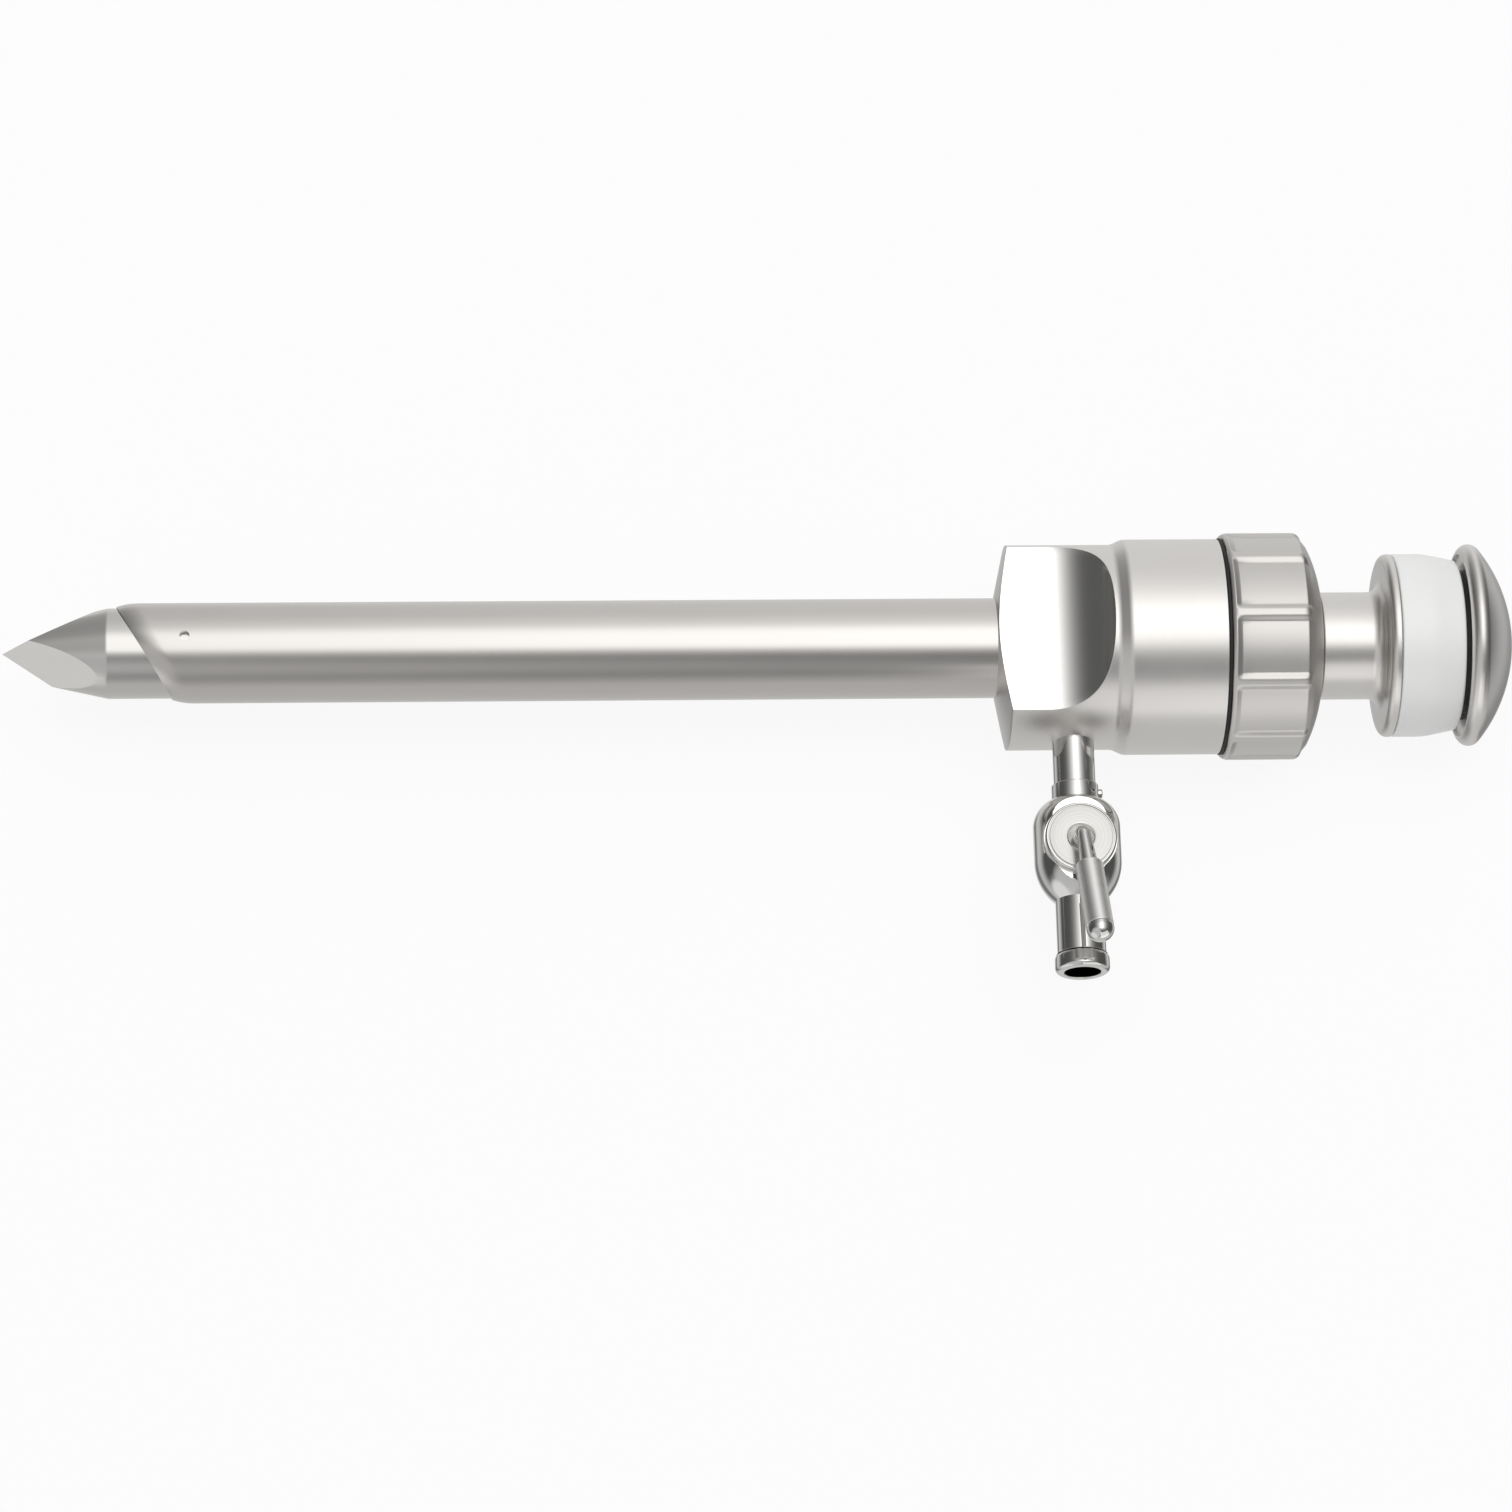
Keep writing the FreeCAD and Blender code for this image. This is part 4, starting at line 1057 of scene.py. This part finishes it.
def makeFloor():
    # paper that mostly glows to the camera, takes soft shadows and is not mirrored
    material, bench = newMaterial("paperFloor")
    place = bench.add("ShaderNodeTexCoord", out="Object")
    fibre = bench.noise(place, 900.0, 3.0)
    rays = bench.add("ShaderNodeLightPath")
    paper = bench.scaled(studio["floorColour"], (fibre - 0.5) * 0.01 + 1.0)
    flat = bench.add("ShaderNodeBsdfDiffuse", None, {"Color": paper})
    white = bench.add("ShaderNodeEmission", None, {"Color": (1, 1, 1, 1), "Strength": 1.0})
    seen = bench.mixed(rays.out("Is Camera Ray") * studio["floorGlow"], flat, white)
    clear = bench.add("ShaderNodeBsdfTransparent")
    surface = bench.mixed(rays.out("Is Glossy Ray"), seen, clear)
    bench.add("ShaderNodeOutputMaterial", None, {"Surface": surface})
    sheet = bmesh.new()
    place = Matrix.Translation((0, 0, studio["floor"]))
    bmesh.ops.create_grid(sheet, x_segments=2, y_segments=2, size=studio["floorSize"] / 2, matrix=place)
    floor = asObject("studioFloor", sheet)
    floor.data.materials.append(material)


def makeLamp(name, size, power, place, lookAt):
    lamp = bpy.data.lights.new(name, "AREA")
    lamp.shape = "RECTANGLE"
    lamp.size, lamp.size_y = size
    lamp.energy = power
    made = bpy.data.objects.new(name, lamp)
    made.location = place
    made.rotation_euler = (Vector(lookAt) - Vector(place)).to_track_quat("-Z", "Y").to_euler()
    bpy.context.scene.collection.objects.link(made)
    return made


makeWorld()
makeFloor()
softBox = makeLamp("softBox", studio["boxSize"], studio["boxPower"], studio["boxPlace"], (0, 0, 0))
softBox.visible_glossy = False  # the tent alone is mirrored
nearLook = (studio["nearSize"], studio["nearPower"], studio["nearPlace"], studio["nearAt"])
nearCard = makeLamp("nearCard", *nearLook)
nearCard.visible_diffuse = False  # a small card that only the handle's end mirrors
nearCard.visible_camera = False
print("studio made")

# camera: a long lens above the instrument, leaning towards the tap's side
view = dict(tilt=20.0, lean=2.8, roll=1.43, distance=0.75, lens=148.93, centreAlong=-28.63, centreBelow=12.75)


def makeCamera():
    v = view
    tilt, lean = math.radians(v["tilt"]), math.radians(v["lean"])
    level = math.cos(lean)
    looking = Vector((math.sin(lean), level * math.sin(tilt), -level * math.cos(tilt)))
    upward = Vector((0, 1, 0)) - looking * looking.y
    upward.normalize()
    upward = Matrix.Rotation(math.radians(v["roll"]), 3, looking) @ upward
    right = looking.cross(upward)
    target = Vector((v["centreAlong"] * mm, 0, 0)) - upward * v["centreBelow"] * mm
    data = bpy.data.cameras.new("camera")
    data.lens = v["lens"]
    data.sensor_width = 36.0
    data.clip_start = 0.05
    camera = bpy.data.objects.new("camera", data)
    turn = Matrix((right, upward, -looking)).transposed().to_4x4()
    camera.matrix_world = Matrix.Translation(target - looking * v["distance"]) @ turn
    bpy.context.scene.collection.objects.link(camera)
    bpy.context.scene.camera = camera


makeCamera()
bpy.context.scene.view_settings.view_transform = "Standard"
